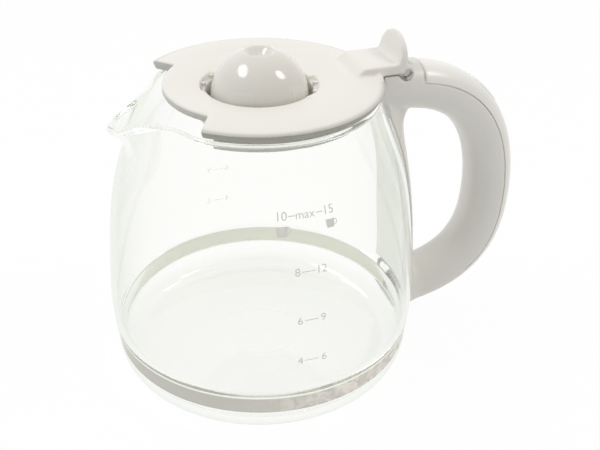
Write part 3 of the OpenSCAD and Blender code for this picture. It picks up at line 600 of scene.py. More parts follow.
def make_lid():
    """Flange, skirt, well, tongue, thumb tab and hooks as one moulding."""
    plate, edges = lid_plate()
    carve(plate, *[lid_recess(turn) for turn in RECESS_TURNS])
    well = carve(lid_well(), *[lid_recess(turn) for turn in RECESS_TURNS])
    solids = edges + [plate, well, lid_skirt(), lid_tongue()] + lid_tab() + lid_ears() + lid_knuckles()
    whole = gathered("lid_shell_satin", solids)
    moulded(whole, LID_VOXEL, passes=2)
    half, turn = PIN_D * 0.36, Matrix.Rotation(MOUTH_TURN, 2)
    slit = [(0, -half), (KNUCKLE_D, -half), (KNUCKLE_D, half), (0, half)]
    turned = [tuple(Vector((PIN_X, PIN_H)) + turn @ Vector(corner)) for corner in slit]
    room = HOOK_HALF_W + SWING * 2
    carve(whole, drum("bore", (PIN_X, PIN_H), PIN_D / 2 + 0.06, -TONGUE_W, TONGUE_W),
          slab("mouth", turned, side_on, -TONGUE_W, TONGUE_W),
          drum("boss_room", (PIN_X, PIN_H), BOSS_D / 2 + SWING, -BOSS_HALF_W - 0.1, BOSS_HALF_W + 0.1),
          block("hook_room", (HOOK_LEG_R - HOOK_T - SWING * 2, -room, SKIRT_LOW_H - 1),
                (PIN_X + 40, room, TONGUE_UNDER_H - SWING)))
    return moulded(whole, LID_VOXEL, passes=5)


# Sizes of the dome

DOME_R, DOME_H, DOME_WALL = 20.3, 125.0, 1.8
DIMPLE_FLAT_R, DIMPLE_RIM_R, DIMPLE_DEPTH = 1.6, 6.9, 3.9
CLIP_TURNS = (52, 128, -52, -128)
CLIP_W, CLIP_TOP_H, CLIP_ROUND, CLIP_RELIEF = 9.8, 133.0, 1.2, 0.14
DOME_OUTER_POINTS = 90


def dome_line():
    """Outline of the dome from its foot over the dimple and back inside."""
    base = WELL_FLOOR_H + WELL_T + 0.1
    inner = DOME_R - DOME_WALL
    rim = math.acos(DIMPLE_RIM_R / DOME_R)
    line = [(inner + 0.3, base), (DOME_R - 0.3, base), (DOME_R, base + 0.3)]
    line += [(DOME_R, z) for z in np.linspace(base + 0.6, DOME_H, 18)]
    line += [(DOME_R * math.cos(a), DOME_H + DOME_R * math.sin(a))
             for a in np.linspace(0, rim, DOME_OUTER_POINTS - 20)[1:]]
    # The dimple sinks out of the round with a soft shoulder
    for r in np.linspace(DIMPLE_RIM_R, 0.3, 26)[1:]:
        sunk = DIMPLE_DEPTH * (1 - float(smooth_step((r - DIMPLE_FLAT_R) / (DIMPLE_RIM_R - DIMPLE_FLAT_R))))
        line.append((r, DOME_H + math.sqrt(DOME_R ** 2 - r ** 2) - sunk))
    under = line[-1][1] - DOME_WALL
    inside = math.acos((DIMPLE_RIM_R + DOME_WALL) / inner)
    line += [(0.3, under), (DIMPLE_RIM_R * 0.8, under)]
    line += [(inner * math.cos(a), DOME_H + inner * math.sin(a)) for a in np.linspace(inside, 0, 30)]
    return line


def clip_relief(turn, z):
    """How far the four clips and their small marks stand proud of the dome."""
    relief = 0.0
    for middle in CLIP_TURNS:
        across = math.radians((turn - middle + 180) % 360 - 180) * DOME_R
        corner = math.hypot(max(0, abs(across) - CLIP_W / 2 + CLIP_ROUND),
                            max(0, z - CLIP_TOP_H + CLIP_ROUND)) - CLIP_ROUND
        relief = max(relief, CLIP_RELIEF * float(smooth_step(0.5 - corner / 0.5)))
        mark = bell(across, 0, 0.9) ** 2 * bell(z, CLIP_TOP_H + 1.6, 0.28)
        relief = max(relief, CLIP_RELIEF * 0.8 * float(mark))
    return relief


def make_dome():
    """The glossy dome with its dimple and the faint outlines of its four clips."""
    line = dome_line()
    rings = []
    for turn in np.linspace(0, 360, 480, endpoint=False):
        ring = []
        for k, (r, z) in enumerate(line):
            if 3 <= k < DOME_OUTER_POINTS:
                r += clip_relief(turn, z) - CLIP_RELIEF
            ring.append((*polar(r, math.radians(turn)), z))
        rings.append(ring)
    return skinned("lid_dome_gloss", rings, ends="hoop")


# Handle pieces


def shoulder_rings():
    """The neck under the tongue, squarer above its middle than the round grip behind the pin."""
    c, s = polar(1, full_turn(ROUND))
    rings = []
    for x in np.linspace(FLANGE_R - 4, PIN_X + 6, 20):
        power = np.where(c > 0, 0.3 + (SQUARENESS - 0.3) * smooth_step((x - PIN_X + 0.5) / 6), SQUARENESS)
        lift = (NECK_D / 2 - 0.1) * np.sign(c) * np.abs(c) ** power
        y = (GRIP_W / 2 - 0.1) * np.sign(s) * np.abs(s) ** power
        rings.append(np.stack([np.full(ROUND, x), y, NECK_H + lift], -1))
    return rings


def make_handle_body():
    """Pale shell with neck, spine, foot and rim hook, melted together as one moulding."""
    places = np.linspace(NECK_SOLID_U - 0.02, FOOT_SOLID_U + 0.02, 120)
    channel = skinned("channel", channel_rings(places, BODY_WALL, SEAM_LIFT, upper=False), ends="strip")
    neck_face = glass_face(NECK_D / 2, GRIP_W / 2, NECK_H, GLASS_GAP, 1)
    neck = gathered("neck", [
        skinned("neck", neck_face + [full_ring(u) for u in np.linspace(0, NECK_SOLID_U, 8)]),
        skinned("shoulder", shoulder_rings())])
    foot_face = glass_face(FOOT_D / 2, GRIP_W / 2 * FOOT_FLARE, FOOT_H, PAD_ROOM, -1)[::-1]
    last = full_ring(FOOT_BLEND_U)
    blend = []
    for share in (0.2, 0.4, 0.6, 0.8):
        ring = last + (foot_face[0] - last) * share
        ring[:, 1] = last[:, 1] + (foot_face[0][:, 1] - last[:, 1]) * share**2
        blend.append(ring)
    stem = [full_ring(u) for u in np.linspace(FOOT_SOLID_U, FOOT_BLEND_U, 12)]
    foot = skinned("foot", stem + blend + foot_face)
    heights = np.linspace(SPINE_LOW_H, SPINE_HIGH_H, 90)
    spine = skinned("spine", spine_rings(heights, PAD_ROOM, SPINE_T, SPINE_EDGE_T, 0))
    saddle_low, above = LID_H - FLANGE_EDGE_T - SWING, NECK_H + 30
    flange_room = [polar(FLANGE_R + SWING * 2, a) for a in arc(-40, 40, 60)] + [(20, 30), (20, -30)]
    top_room_x = PIN_X + KNUCKLE_D / 2 + SWING * 4.5
    cutters = [slab("flange_room", flange_room, upright, saddle_low, above),
               block("tongue_room", (30, -GRIP_W, TONGUE_UNDER_H - SWING), (PIN_X, GRIP_W, above)),
               block("top_room", (PIN_X, -GRIP_W, PIN_H), (top_room_x, GRIP_W, above))]
    cutters += [drum("knuckle_room", (PIN_X, PIN_H), KNUCKLE_D / 2 + SWING, low, high)
                for low, high in both_sides(BOSS_HALF_W, BOSS_HALF_W + GRIP_W)]
    moulded(neck, BODY_VOXEL, passes=1)
    carve(neck, *cutters)
    carve(foot, block("recess", (0, -RECESS_HALF_W, BAND_LOW_H - BAND_W / 4),
                      (BAND_R + 3, RECESS_HALF_W, SPINE_LOW_H - 0.3)),
          block("pocket", (0, -POCKET_HALF_W, BAND_MID_H - POCKET_HALF_H),
                (BAND_R + POCKET_L, POCKET_HALF_W, BAND_MID_H + POCKET_HALF_H)),
          drum("screw_way", (BAND_R + SCREW_OUT, BAND_MID_H), SCREW_WAY_R, 0, GRIP_W))
    hook_low, bridge_low = RIM_H - HOOK_L, RIM_H + GLASS_GAP
    top = TONGUE_UNDER_H - SWING * 2
    hook = [(HOOK_LEG_R - HOOK_T, hook_low), (HOOK_LEG_R, hook_low), (HOOK_LEG_R, bridge_low),
            (FLANGE_R + HOOK_T, bridge_low), (FLANGE_R + HOOK_T, top), (HOOK_LEG_R - HOOK_T, top)]
    parts = [channel, neck, foot, spine, slab("hook", hook, side_on, -HOOK_HALF_W, HOOK_HALF_W),
             drum("boss", (PIN_X, PIN_H), BOSS_D / 2, -BOSS_HALF_W, BOSS_HALF_W),
             block("boss_web", (PIN_X - BOSS_D / 2, -BOSS_HALF_W, TONGUE_UNDER_H - BOSS_D),
                   (PIN_X + BOSS_D / 2, BOSS_HALF_W, PIN_H))]
    return moulded(gathered("handle_body_satin", parts), BODY_VOXEL, passes=6)


BADGE_U = 0.42
BADGE_L, BADGE_W, BADGE_T, BADGE_ROOM = 16.0, 11.0, 0.8, 0.4


def skin_point(u, y, sink):
    """A point of the cover's outer face."""
    half_d = handle_depth(u)
    share = np.clip(1 - np.abs(y / (GRIP_W / 2)) ** (2 / SQUARENESS), 0, 1) ** (SQUARENESS / 2)
    return handle_point(u, half_d * share - sink, y)


def badge_rings(grow, low, high):
    """Rings of an oval plug that follows the cover's face between two depths under it."""
    speed = np.linalg.norm(handle_mid(BADGE_U + 0.01) - handle_mid(BADGE_U - 0.01)) / 0.02
    along, across = polar(1, full_turn(72))
    shares = [k / 12 for k in range(1, 13)]
    return [skin_point(BADGE_U + (BADGE_L / 2 + grow) * share * along / speed,
                       (BADGE_W / 2 + grow) * share * across, sink)
            for share, sink in [(share, low) for share in shares] + [(share, high) for share in shares[::-1]]]


def make_cover():
    """Glossy outer shell with its oval pocket."""
    gap = SEAM_GAP / FRONT_RUN
    places = np.linspace(NECK_SOLID_U + gap, FOOT_SOLID_U - gap, 200)
    rings = channel_rings(places, COVER_WALL, SEAM_LIFT + SEAM_GAP, upper=True)
    cover = skinned("handle_cover_gloss", rings, ends="strip")
    return carve(cover, skinned("pocket", badge_rings(BADGE_ROOM, BADGE_T, -2.0)))


def make_badge():
    """Plain oval inlay with a softly rounded edge."""
    badge = skinned("handle_badge_plain", badge_rings(0, BADGE_T - 0.1, -0.2))
    edge = badge.modifiers.new("edge", "BEVEL")
    edge.width = 0.15 * MM
    edge.segments = 2
    edge.limit_method = "ANGLE"
    return settle(badge)


def make_pad():
    """Soft strip between the spine and the glass, with a slightly uneven edge."""
    low, high = SPINE_LOW_H + SPINE_EDGE_T / 2, NECK_H - NECK_D / 2 - SPINE_EDGE_T
    heights = np.linspace(low, high, 150)
    rings = np.array(spine_rings(heights, GLASS_GAP, PAD_T, PAD_T, SPINE_EDGE_T, points=60))
    wave = 0.18 * np.sin(heights * 2.3) + 0.12 * np.sin(heights * 5.1 + 1) + 0.08 * np.sin(heights * 9.7 + 2)
    for ring, shift in zip(rings, wave):
        edge = smooth_step((np.abs(ring[:, 1]) - 8) / 6)
        ring[:, 1] -= np.sign(ring[:, 1]) * edge * (0.35 + shift)
    return skinned("spine_pad_soft", rings, ends="strip")


# Node tools


def feed(tree, made, inputs):
    """Gives each input of a node a value, or joins it to a socket."""
    for key, value in inputs.items():
        if isinstance(value, bpy.types.NodeSocket):
            tree.links.new(value, made.inputs[key])
        else:
            made.inputs[key].default_value = value


def node(tree, kind, inputs={}, **settings):
    made = tree.nodes.new(kind)
    for key, value in settings.items():
        setattr(made, key, value)
    feed(tree, made, inputs)
    return made


def new_tree(name, kind, inputs, outputs):
    """A node group with named sockets, what it is given, and its output node."""
    tree = bpy.data.node_groups.new(name, kind + "NodeTree")
    for way, sockets in (("INPUT", inputs), ("OUTPUT", outputs)):
        for label, socket in sockets.items():
            tree.interface.new_socket(label, in_out=way, socket_type="NodeSocket" + socket)
    return tree, tree.nodes.new("NodeGroupInput").outputs, tree.nodes.new("NodeGroupOutput")


def maths(tree, operation, *terms):
    made = node(tree, "ShaderNodeMath", dict(enumerate(terms)), operation=operation)
    return made.outputs["Value"]


def ramp(tree, source, low=0, high=1, to_low=0, to_high=1, soft=False):
    """A value brought from one range to another, and held at both ends."""
    inputs = {"Value": source, "From Min": low, "From Max": high, "To Min": to_low, "To Max": to_high}
    way = "SMOOTHSTEP" if soft else "LINEAR"
    return node(tree, "ShaderNodeMapRange", inputs, interpolation_type=way).outputs["Result"]


def noise(tree, place, scale, **more):
    inputs = {"Vector": place, "Scale": scale, **more}
    return node(tree, "ShaderNodeTexNoise", inputs).outputs["Fac"]


def mixed(tree, mask, first, second):
    """Colour between two, by a mask."""
    first, second = [(*tone, 1) if isinstance(tone, tuple) else tone for tone in (first, second)]
    inputs = {"Factor": mask, "A": first, "B": second}
    return node(tree, "ShaderNodeMix", inputs, data_type="RGBA").outputs["Result"]


def relief(tree, height, strength, distance):
    """A normal from a height. distance is in millimetres."""
    inputs = {"Height": height, "Strength": strength, "Distance": distance * MM}
    return node(tree, "ShaderNodeBump", inputs).outputs["Normal"]


def object_place(tree, scale=None):
    """Object coordinates, drawn out where a scale is given."""
    place = node(tree, "ShaderNodeTexCoord").outputs["Object"]
    if scale:
        place = node(tree, "ShaderNodeMapping", {"Vector": place, "Scale": scale}).outputs["Vector"]
    return place


def parted(tree, vector):
    """The X, Y and Z of a vector."""
    return node(tree, "ShaderNodeSeparateXYZ", {"Vector": vector}).outputs


def blended(tree, share, first, second, end):
    """Two shaders mixed by a share, into an output node."""
    mix = node(tree, "ShaderNodeMixShader", {"Fac": share, 1: first.outputs[0], 2: second.outputs[0]})
    feed(tree, end, {"Surface": mix.outputs["Shader"]})


# Ribs in the recesses of the lid, by geometry nodes


def rib_tree(material):
    """Small upright ribs standing round an arc."""
    inputs = {"Geometry": "Geometry", "Radius": "Float", "Middle": "Float", "Spread": "Float",
              "Count": "Int", "Height": "Float", "Size": "Vector"}
    tree, given, out = new_tree("arc_ribs", "Geometry", inputs, {"Geometry": "Geometry"})
    rib = node(tree, "GeometryNodeMeshCube", {
        "Size": given["Size"], "Vertices X": 3, "Vertices Y": 3, "Vertices Z": 5})
    soft = node(tree, "GeometryNodeSubdivisionSurface", {"Mesh": rib.outputs["Mesh"], "Level": 1})
    spots = node(tree, "GeometryNodeMeshLine", {"Count": given["Count"]})
    index = node(tree, "GeometryNodeInputIndex").outputs["Index"]
    share = maths(tree, "DIVIDE", index, maths(tree, "SUBTRACT", given["Count"], 1))
    centred = maths(tree, "SUBTRACT", share, 0.5)
    turn = maths(tree, "MULTIPLY_ADD", centred, given["Spread"], given["Middle"])
    place = {axis: maths(tree, "MULTIPLY", maths(tree, operation, turn), given["Radius"])
             for axis, operation in (("X", "COSINE"), ("Y", "SINE"))}
    spot = node(tree, "ShaderNodeCombineXYZ", {**place, "Z": given["Height"]})
    move = node(tree, "GeometryNodeSetPosition", {
        "Geometry": spots.outputs["Mesh"], "Position": spot.outputs["Vector"]})
    facing = node(tree, "ShaderNodeCombineXYZ", {"Z": turn})
    copies = node(tree, "GeometryNodeInstanceOnPoints", {
        "Points": move.outputs["Geometry"], "Instance": soft.outputs["Mesh"],
        "Rotation": facing.outputs["Vector"]})
    real = node(tree, "GeometryNodeRealizeInstances", {"Geometry": copies.outputs["Instances"]})
    finish = node(tree, "GeometryNodeSetMaterial", {
        "Geometry": real.outputs["Geometry"], "Material": material})
    feed(tree, out, {"Geometry": finish.outputs["Geometry"]})
    return tree


def grown(name, tree, values):
    """Runs a geometry tree with named values and keeps its result as a plain mesh."""
    piece = piece_from(name, [(0, 0, 0), (1, 0, 0), (0, 1, 0)], [(0, 1, 2)])
    grower = piece.modifiers.new("grow", "NODES")
    grower.node_group = tree
    for item in tree.interface.items_tree:
        if item.in_out == "INPUT" and item.name in values:
            grower[item.identifier] = values[item.name]
    settle(piece)
    piece.data.shade_smooth()
    return piece


# Printed scale

PRINT_LIFT, PRINT_T, BAR_W = 0.03, 0.04, 0.35
SCALE_ROWS = [
    (101.6, [(-9.0, "10"), (-5.1, "dash"), (0.0, "max"), (5.5, "dash"), (9.2, "15")]),
    (79.7, [(-4.0, "8"), (0.1, "long"), (4.6, "12")]),
    (58.5, [(-3.5, "6"), (0.5, "long"), (4.7, "9")]),
    (39.8, [(-3.6, "4"), (0.4, "long"), (4.8, "6")]),
]
CUP_ICONS = [(-8.9, 96.2, 1.0), (9.4, 96.6, 0.82)]
FRONT_SCALE_A = -91.4


def flat_text(words, size):
    """Flat lettering as points and faces, centred on its middle."""
    curve = bpy.data.curves.new("words", "FONT")
    curve.body = words
    curve.size = size
    curve.align_x = curve.align_y = "CENTER"
    curve.resolution_u = 4
    holder = placed("words", curve)
    graph = bpy.context.evaluated_depsgraph_get()
    mesh = bpy.data.meshes.new_from_object(holder.evaluated_get(graph))
    bpy.data.objects.remove(holder)
    bpy.data.curves.remove(curve)
    points = [tuple(v.co)[:2] for v in mesh.vertices]
    faces = [tuple(p.vertices) for p in mesh.polygons]
    bpy.data.meshes.remove(mesh)
    return points, faces


def bar(width):
    x, y = width / 2, BAR_W / 2
    return [(-x, -y), (x, -y), (x, y), (-x, y)], [(0, 1, 2, 3)]


def cup_shape(scale):
    """A small filled cup with its ear, as used beside the numbers."""
    body = [(-2.2, 1.9), (2.2, 1.9), (1.9, -1.6), (1.5, -2.0), (-1.5, -2.0), (-1.9, -1.6)]
    ear = [polar(r, t) for t in arc(100, -95, 13) for r in (1.05, 1.45)]
    points = [(x * scale, y * scale) for x, y in body + [(2.15 + x, 0.35 + y) for x, y in ear]]
    first = len(body)
    faces = [tuple(range(first))] + [(a, a + 1, a + 3, a + 2) for a in range(first, first + len(ear) - 2, 2)]
    return points, faces


def wrapped(points, turn, height):
    """Lays flat points in millimetres on the glass round a turn and a height."""
    laid = []
    for x, y in points:
        z = height + y * 0.97
        r = float(glass_r(z)) + PRINT_LIFT
        laid.append((*polar(r, math.radians(turn) + x / r), z))
    return laid


def make_scale(name, middle):
    """One printed scale with its numbers, bars and cups, as a thin layer of ink."""
    points, faces = [], []

    def add(shape, turn, height):
        flat, polys = shape
        start = len(points)
        points.extend(wrapped(flat, turn, height))
        faces.extend(tuple(start + i for i in poly) for poly in polys)

    shapes = {"dash": bar(2.5), "long": bar(5.6), "max": flat_text("max", 4.6)}
    for height, marks in SCALE_ROWS:
        for off, mark in marks:
            add(shapes.get(mark) or flat_text(mark, 4.8), middle + off, height)
    for off, height, scale in CUP_ICONS:
        add(cup_shape(scale), middle + off, height)
    ink = piece_from(name, points, faces, smooth=False)
    thick = ink.modifiers.new("thick", "SOLIDIFY")
    thick.thickness = PRINT_T * MM
    thick.offset = 1
    return settle(ink)


# Materials

# Painted shade tones for the sides of the disc and of the flange
DISC_SIDE_PAINTED_SHADE, FLANGE_SIDE_PAINTED_SHADE = (0.60, 0.595, 0.545), (0.38, 0.375, 0.335)
GLASS_WALL_TONE, GLASS_BASE_TONE = (0.997, 0.998, 0.987), (0.93, 0.935, 0.91)
GLASS_EDGE_TONE = (0.46, 0.51, 0.40)
GRAIN_DEPTH = 0.05


def grain_group():
    """Fine moulded texture as a height, and a slow drift of tone as a mask."""
    tree, given, out = new_tree("moulded_grain", "Shader", {"Grain Scale": "Float", "Drift Scale": "Float"},
                                {"Height": "Float", "Drift": "Float", "Rough Shift": "Float"})
    place = object_place(tree)
    drift = noise(tree, place, given["Drift Scale"], Detail=2)
    feed(tree, out, {
        "Height": noise(tree, place, given["Grain Scale"], Detail=3),
        "Drift": ramp(tree, drift, 0.3, 0.7),
        "Rough Shift": maths(tree, "MULTIPLY_ADD", drift, 0.10, -0.05)})
    return tree


GRAIN = grain_group()


def surface(name):
    material = bpy.data.materials.new(name)
    material.use_nodes = True
    tree = material.node_tree
    return material, tree, tree.nodes["Principled BSDF"]


def plastic(name, light, shade, rough, bump, grain=1500.0, coat=0.0):
    """Moulded plastic: a slow drift between two close tones, and a fine grain in its height."""
    material, tree, shader = surface(name)
    scales = {"Grain Scale": grain, "Drift Scale": 22.0}
    grains = node(tree, "ShaderNodeGroup", scales, node_tree=GRAIN).outputs
    feed(tree, shader, {
        "Base Color": mixed(tree, grains["Drift"], shade, light),
        "Roughness": maths(tree, "ADD", grains["Rough Shift"], rough),
        "Normal": relief(tree, grains["Height"], bump, GRAIN_DEPTH),
        "IOR": 1.49})
    if coat:
        feed(tree, shader, {"Coat Weight": coat, "Coat Roughness": min(0.42, rough * 0.9)})
    return material


def painted_edge_shade(material):
    """Painted shade: a darker tone painted on the side of the flange and of the disc, where shade gathers."""
    tree = material.node_tree
    shader = tree.nodes["Principled BSDF"]
    colour = shader.inputs["Base Color"].links[0].from_socket
    place = parted(tree, object_place(tree))
    flat = node(tree, "ShaderNodeCombineXYZ", {axis: place[axis] for axis in "XY"}).outputs["Vector"]
    radius = node(tree, "ShaderNodeVectorMath", {0: flat}, operation="LENGTH").outputs["Value"]

    def mask(*steps):
        """Soft steps between two lengths each, multiplied."""
        whole = 1.0
        for source, low, high in steps:
            whole = maths(tree, "MULTIPLY", whole, ramp(tree, source, low * MM, high * MM, soft=True))
        return whole

    # Painted shade on the flange's side at the front
    rim = mask((radius, FLANGE_R - 2.2, FLANGE_R - 1.8),
               (place["Z"], LID_H - 0.15, LID_H - 0.55),
               (place["X"], FLANGE_R * 0.97, FLANGE_R * 0.9),
               (place["Y"], FLANGE_R * 0.6, FLANGE_R * 0.4))
    # Painted shade on the disc's edge
    disc = mask((radius, DISC_R - 0.35, DISC_R - 0.15),
                (place["Z"], LID_H + 0.6, LID_H + 0.1))
    shade = mixed(tree, disc, colour, DISC_SIDE_PAINTED_SHADE)
    feed(tree, shader, {"Base Color": mixed(tree, rim, shade, FLANGE_SIDE_PAINTED_SHADE)})
    return material


def clear_glass():
    """Clear soda glass with a faint green tone in its thickness."""
    material, tree, shader = surface("clear_glass")
    facing = node(tree, "ShaderNodeLayerWeight", {"Blend": 0.5}).outputs["Facing"]
    place = object_place(tree)
    height = parted(tree, place)["Z"]
    body = mixed(tree, ramp(tree, height, 0.009, 0.004), GLASS_WALL_TONE, GLASS_BASE_TONE)
    # The edges of the wall are green, and less so towards the thin rim
    wall = ramp(tree, height, 0.1165, 0.102, to_low=0.1)
    edge = maths(tree, "MULTIPLY", maths(tree, "POWER", facing, 3.5), wall)
    feed(tree, shader, {
        "Transmission Weight": 1, "IOR": 1.5, "Roughness": 0,
        "Base Color": mixed(tree, edge, body, GLASS_EDGE_TONE),
        "Normal": relief(tree, noise(tree, place, 24, Detail=1), 0.05, 0.6)})
    # Lamp rays pass straight through, and so does light that has been turned about inside the wall
    path = node(tree, "ShaderNodeLightPath").outputs
    through = path["Is Shadow Ray"]
    for depth, most in (("Glossy Depth", 0.5), ("Ray Depth", 6.5)):
        through = maths(tree, "MAXIMUM", through, maths(tree, "GREATER_THAN", path[depth], most))
    open_way = node(tree, "ShaderNodeBsdfTransparent", {"Color": (0.96, 0.97, 0.95, 1)})
    blended(tree, through, shader, open_way, tree.nodes["Material Output"])
    return material


def band_steel():
    """Satin strip with a painted brown reflection clouding its front right stretch, and painted shade that
    darkens its front side.
    """
    material, tree, shader = surface("band_steel")
    place = object_place(tree)
    part = parted(tree, place)
    # Painted reflection: a brown marbling in the colour of the front right stretch
    veil = ramp(tree, noise(tree, place, 240, Detail=6, Distortion=0.9), 0.40, 0.60)
    stretch = ramp(tree, part["X"], -0.032, 0.012, soft=True)
    front = ramp(tree, part["Y"], 0.035, -0.025, soft=True)
    painted_brown_reflection = maths(tree, "MULTIPLY", maths(tree, "MULTIPLY", stretch, front), veil)
    # Painted shade: the front side is darker than the back
    tone = mixed(tree, front, (0.83, 0.815, 0.755), (0.56, 0.55, 0.50))
    feed(tree, shader, {
        "Metallic": 1, "Base Color": mixed(tree, painted_brown_reflection, tone, (0.76, 0.71, 0.645)),
        "Roughness": ramp(tree, painted_brown_reflection, to_low=0.38, to_high=0.26),
        "Normal": relief(tree, painted_brown_reflection, 0.12, 0.05)})
    return material


def screw_steel(name, tone):
    """Plated steel with fine turning marks."""
    material, tree, shader = surface(name)
    turned = noise(tree, object_place(tree), 900)
    feed(tree, shader, {
        "Metallic": 1, "Base Color": (tone, tone, tone * 0.98, 1),
        "Roughness": ramp(tree, turned, to_low=0.22, to_high=0.38)})
    return material


def soft_strip():
    """Milky grey pad with upright streaks, which glows faintly: painted light in place of light that passes
    through it.
    """
    material, tree, shader = surface("soft_pad")
    streak = noise(tree, object_place(tree, (1.0, 1.0, 0.16)), 420, Detail=5, Roughness=0.65)
    colour = mixed(tree, ramp(tree, streak, 0.35, 0.65), (0.93, 0.94, 0.89), (0.99, 0.99, 0.97))
    # Painted light: a faint glow in the pad's own colour, standing in for light let through it
    feed(tree, shader, {
        "Base Color": colour, "Emission Color": colour, "Emission Strength": 0.2,
        "Roughness": 0.55, "Normal": relief(tree, streak, 0.25, 0.1)})
    return material


def badge_plate():
    """Plain satin metal inlay with a brushed grain along its length."""
    material, tree, shader = surface("badge_plate")
    brushed = noise(tree, object_place(tree, (1.0, 8.0, 1.0)), 500)
    feed(tree, shader, {
        "Metallic": 1, "Base Color": mixed(tree, brushed, (0.62, 0.61, 0.58), (0.80, 0.79, 0.76)),
        "Roughness": ramp(tree, brushed, to_low=0.25, to_high=0.42)})
    return material


def scale_ink(name, dark, light, cover):
    """Grey fired ink, thin enough to look uneven. cover is how much it hides."""
    material, tree, shader = surface(name)
    patch = noise(tree, object_place(tree), 1800)
    feed(tree, shader, {
        "Alpha": cover, "Base Color": mixed(tree, patch, dark, light), "Roughness": 0.5})
    return material


# The lid's plastic, with painted shade on the sides of its flange and disc
LID_PLASTIC = painted_edge_shade(plastic("lid_plastic", (0.855, 0.84, 0.79), (0.83, 0.815, 0.765), 0.42, 0.35))
# Painted shade: the handle body is the same off-white as its cover, painted darker for the shade it lies in
SHELL_PLASTIC_PAINTED_SHADE = plastic("shell_plastic", (0.79, 0.775, 0.73), (0.76, 0.745, 0.705), 0.46, 0.5,
                        grain=1100.0, coat=1.0)
COVER_PLASTIC = plastic("cover_plastic", (0.86, 0.85, 0.81), (0.84, 0.825, 0.78), 0.32, 0.15, coat=0.6)
DOME_PLASTIC = plastic("dome_plastic", (0.765, 0.745, 0.69), (0.745, 0.725, 0.67), 0.14, 0.08, coat=0.5)
CLEAR_GLASS = clear_glass()
BAND_STEEL = band_steel()
SCREW_STEEL = screw_steel("screw_steel", 0.70)
# Painted shade: the pin is the screws' steel made darker, standing in for the shade in the hollow of the
# knuckles
PIN_STEEL_PAINTED_SHADE = screw_steel("pin_steel_painted_shade", 0.42)
SOFT_PAD_PAINTED_GLOW = soft_strip()
BADGE_PLATE = badge_plate()
FRONT_INK = scale_ink("scale_ink", (0.78, 0.78, 0.73), (0.86, 0.85, 0.80), 1.0)
BACK_INK = scale_ink("scale_ink_faint", (0.80, 0.80, 0.77), (0.88, 0.88, 0.85), 0.25)


def dress(piece, material, body, slot_name, *replaced):
    """Gives a piece its material, its body and the solids that it stands for. slot_name is not used."""
    piece.data.materials.clear()
    piece.data.materials.append(material)
    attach(piece, body)
    if replaced:
        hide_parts(*replaced)


def repaint(name, material):
    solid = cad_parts[name]
    for place in solid.material_slots:
        place.material = material


dress(make_glass(), CLEAR_GLASS, "root", "clear_glass", "glass_jug")
dress(make_handle_body(), SHELL_PLASTIC_PAINTED_SHADE, "root", "shell_plastic", "handle_body")
dress(make_cover(), COVER_PLASTIC, "root", "cover_plastic", "handle_cover")
dress(make_badge(), BADGE_PLATE, "root", "badge_plate", "handle_badge")
dress(make_pad(), SOFT_PAD_PAINTED_GLOW, "root", "soft_pad", "spine_pad")
dress(make_lid(), LID_PLASTIC, "lid", "lid_plastic", "lid_shell")
dress(make_dome(), DOME_PLASTIC, "lid", "dome_plastic", "lid_dome")

RIB_COUNT, RIB_SPREAD, RIB_SIZE = 2, 22, (2.2, 1.7, 2.0)
ribs = rib_tree(LID_PLASTIC)
for label, middle in (("handle", RECESS_TURNS[0]), ("spout", RECESS_TURNS[1] - 11)):
    rib_piece = grown("well_ribs_" + label, ribs, {
        "Radius": (WELL_R + RECESS_DEPTH / 2 + 0.2) * MM, "Height": (RECESS_FLOOR_H + 0.6) * MM,
        "Middle": math.radians(middle), "Spread": math.radians(RIB_SPREAD), "Count": RIB_COUNT,
        "Size": tuple(side * MM for side in RIB_SIZE)})
    dress(rib_piece, LID_PLASTIC, "lid", "lid_plastic")

dress(make_scale("scale_front", FRONT_SCALE_A), FRONT_INK, "root", "scale_ink")
dress(make_scale("scale_back", -FRONT_SCALE_A), BACK_INK, "root", "scale_ink")

repaint("clamp_band", BAND_STEEL)
for fastener in ("clamp_screw", "clamp_nut", "cover_screws"):
    repaint(fastener, SCREW_STEEL)
repaint("hinge_pin", PIN_STEEL_PAINTED_SHADE)
# The hook sleeve takes the pad's material and its painted glow
repaint("hook_sleeve", SOFT_PAD_PAINTED_GLOW)


# Floor, world and lamps

WHITE = (1, 1, 1, 1)
FLOOR_PAINT, FLOOR_GLOW = (0.95, 0.95, 0.94, 1), 0.96
FLOOR_REACH, FLOOR_H = 3000, -0.05
ROOM_LEVEL = (0.40, 1.02)
MIRROR_LEVEL = (0.26, 1.0)


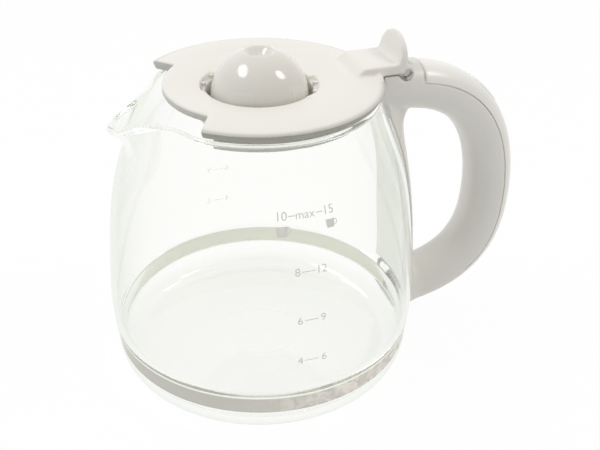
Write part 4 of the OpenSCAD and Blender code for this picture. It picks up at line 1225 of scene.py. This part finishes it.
def make_floor():
    """Pale floor that shows white to the camera and keeps a soft shadow."""
    corners = [(x * FLOOR_REACH, y * FLOOR_REACH, FLOOR_H) for x, y in ((-1, -1), (1, -1), (1, 1), (-1, 1))]
    floor = piece_from("floor", corners, [(0, 1, 2, 3)])
    material = bpy.data.materials.new("pale_floor")
    material.use_nodes = True
    tree = material.node_tree
    tree.nodes.clear()
    path = node(tree, "ShaderNodeLightPath").outputs
    seen = maths(tree, "MAXIMUM", path["Is Camera Ray"], path["Is Glossy Ray"])
    seen = maths(tree, "MAXIMUM", seen, path["Is Transmission Ray"])
    paint = node(tree, "ShaderNodeBsdfDiffuse", {"Color": FLOOR_PAINT})
    glow = node(tree, "ShaderNodeEmission", {"Color": WHITE, "Strength": 1})
    blended(tree, maths(tree, "MULTIPLY", seen, FLOOR_GLOW), paint, glow,
            node(tree, "ShaderNodeOutputMaterial"))
    floor.data.materials.append(material)


def make_world():
    """White to the camera and through glass. Its light is weaker from the camera's side."""
    world = bpy.data.worlds.new("studio")
    scene.world = world
    world.use_nodes = True
    tree = world.node_tree
    tree.nodes.clear()
    path = node(tree, "ShaderNodeLightPath").outputs
    side = parted(tree, node(tree, "ShaderNodeTexCoord").outputs["Generated"])["Y"]
    levels = {"Factor": path["Is Glossy Ray"], "A": ramp(tree, side, -1, 0.6, *ROOM_LEVEL),
              "B": ramp(tree, side, -1, 0.2, *MIRROR_LEVEL)}
    level = node(tree, "ShaderNodeMix", levels, data_type="FLOAT").outputs["Result"]
    light_sky = node(tree, "ShaderNodeBackground", {"Strength": level})
    seen_sky = node(tree, "ShaderNodeBackground", {"Color": WHITE, "Strength": 1})
    deep = maths(tree, "GREATER_THAN", path["Ray Depth"], 1.5)
    turned = maths(tree, "MULTIPLY", deep, path["Is Glossy Ray"])
    seen = maths(tree, "MAXIMUM", path["Is Transmission Ray"], turned)
    seen = maths(tree, "MAXIMUM", path["Is Camera Ray"], seen)
    blended(tree, seen, light_sky, seen_sky, node(tree, "ShaderNodeOutputWorld"))


def softbox(name, direction, size, power, tint=(1, 1, 1)):
    """A lamp a metre away that looks at the middle of the part. size is across and along."""
    data = bpy.data.lights.new(name, "AREA")
    data.shape = "ELLIPSE"
    data.size, data.size_y = size
    data.energy = power
    data.color = tint
    lamp = placed(name, data)
    away = Vector(direction).normalized()
    lamp.location = Vector((0.0, 0.0, 0.12)) + away
    lamp.rotation_euler = away.to_track_quat("Z", "Y").to_euler()


make_floor()
make_world()
softbox("window", (-0.50, 0.16, 0.84), (0.6, 0.34), 3.0)
softbox("warm_lamp", (0.626, -0.261, 0.735), (0.24, 0.32), 2.1, (1.0, 0.94, 0.86))
scene.view_settings.view_transform = "Standard"
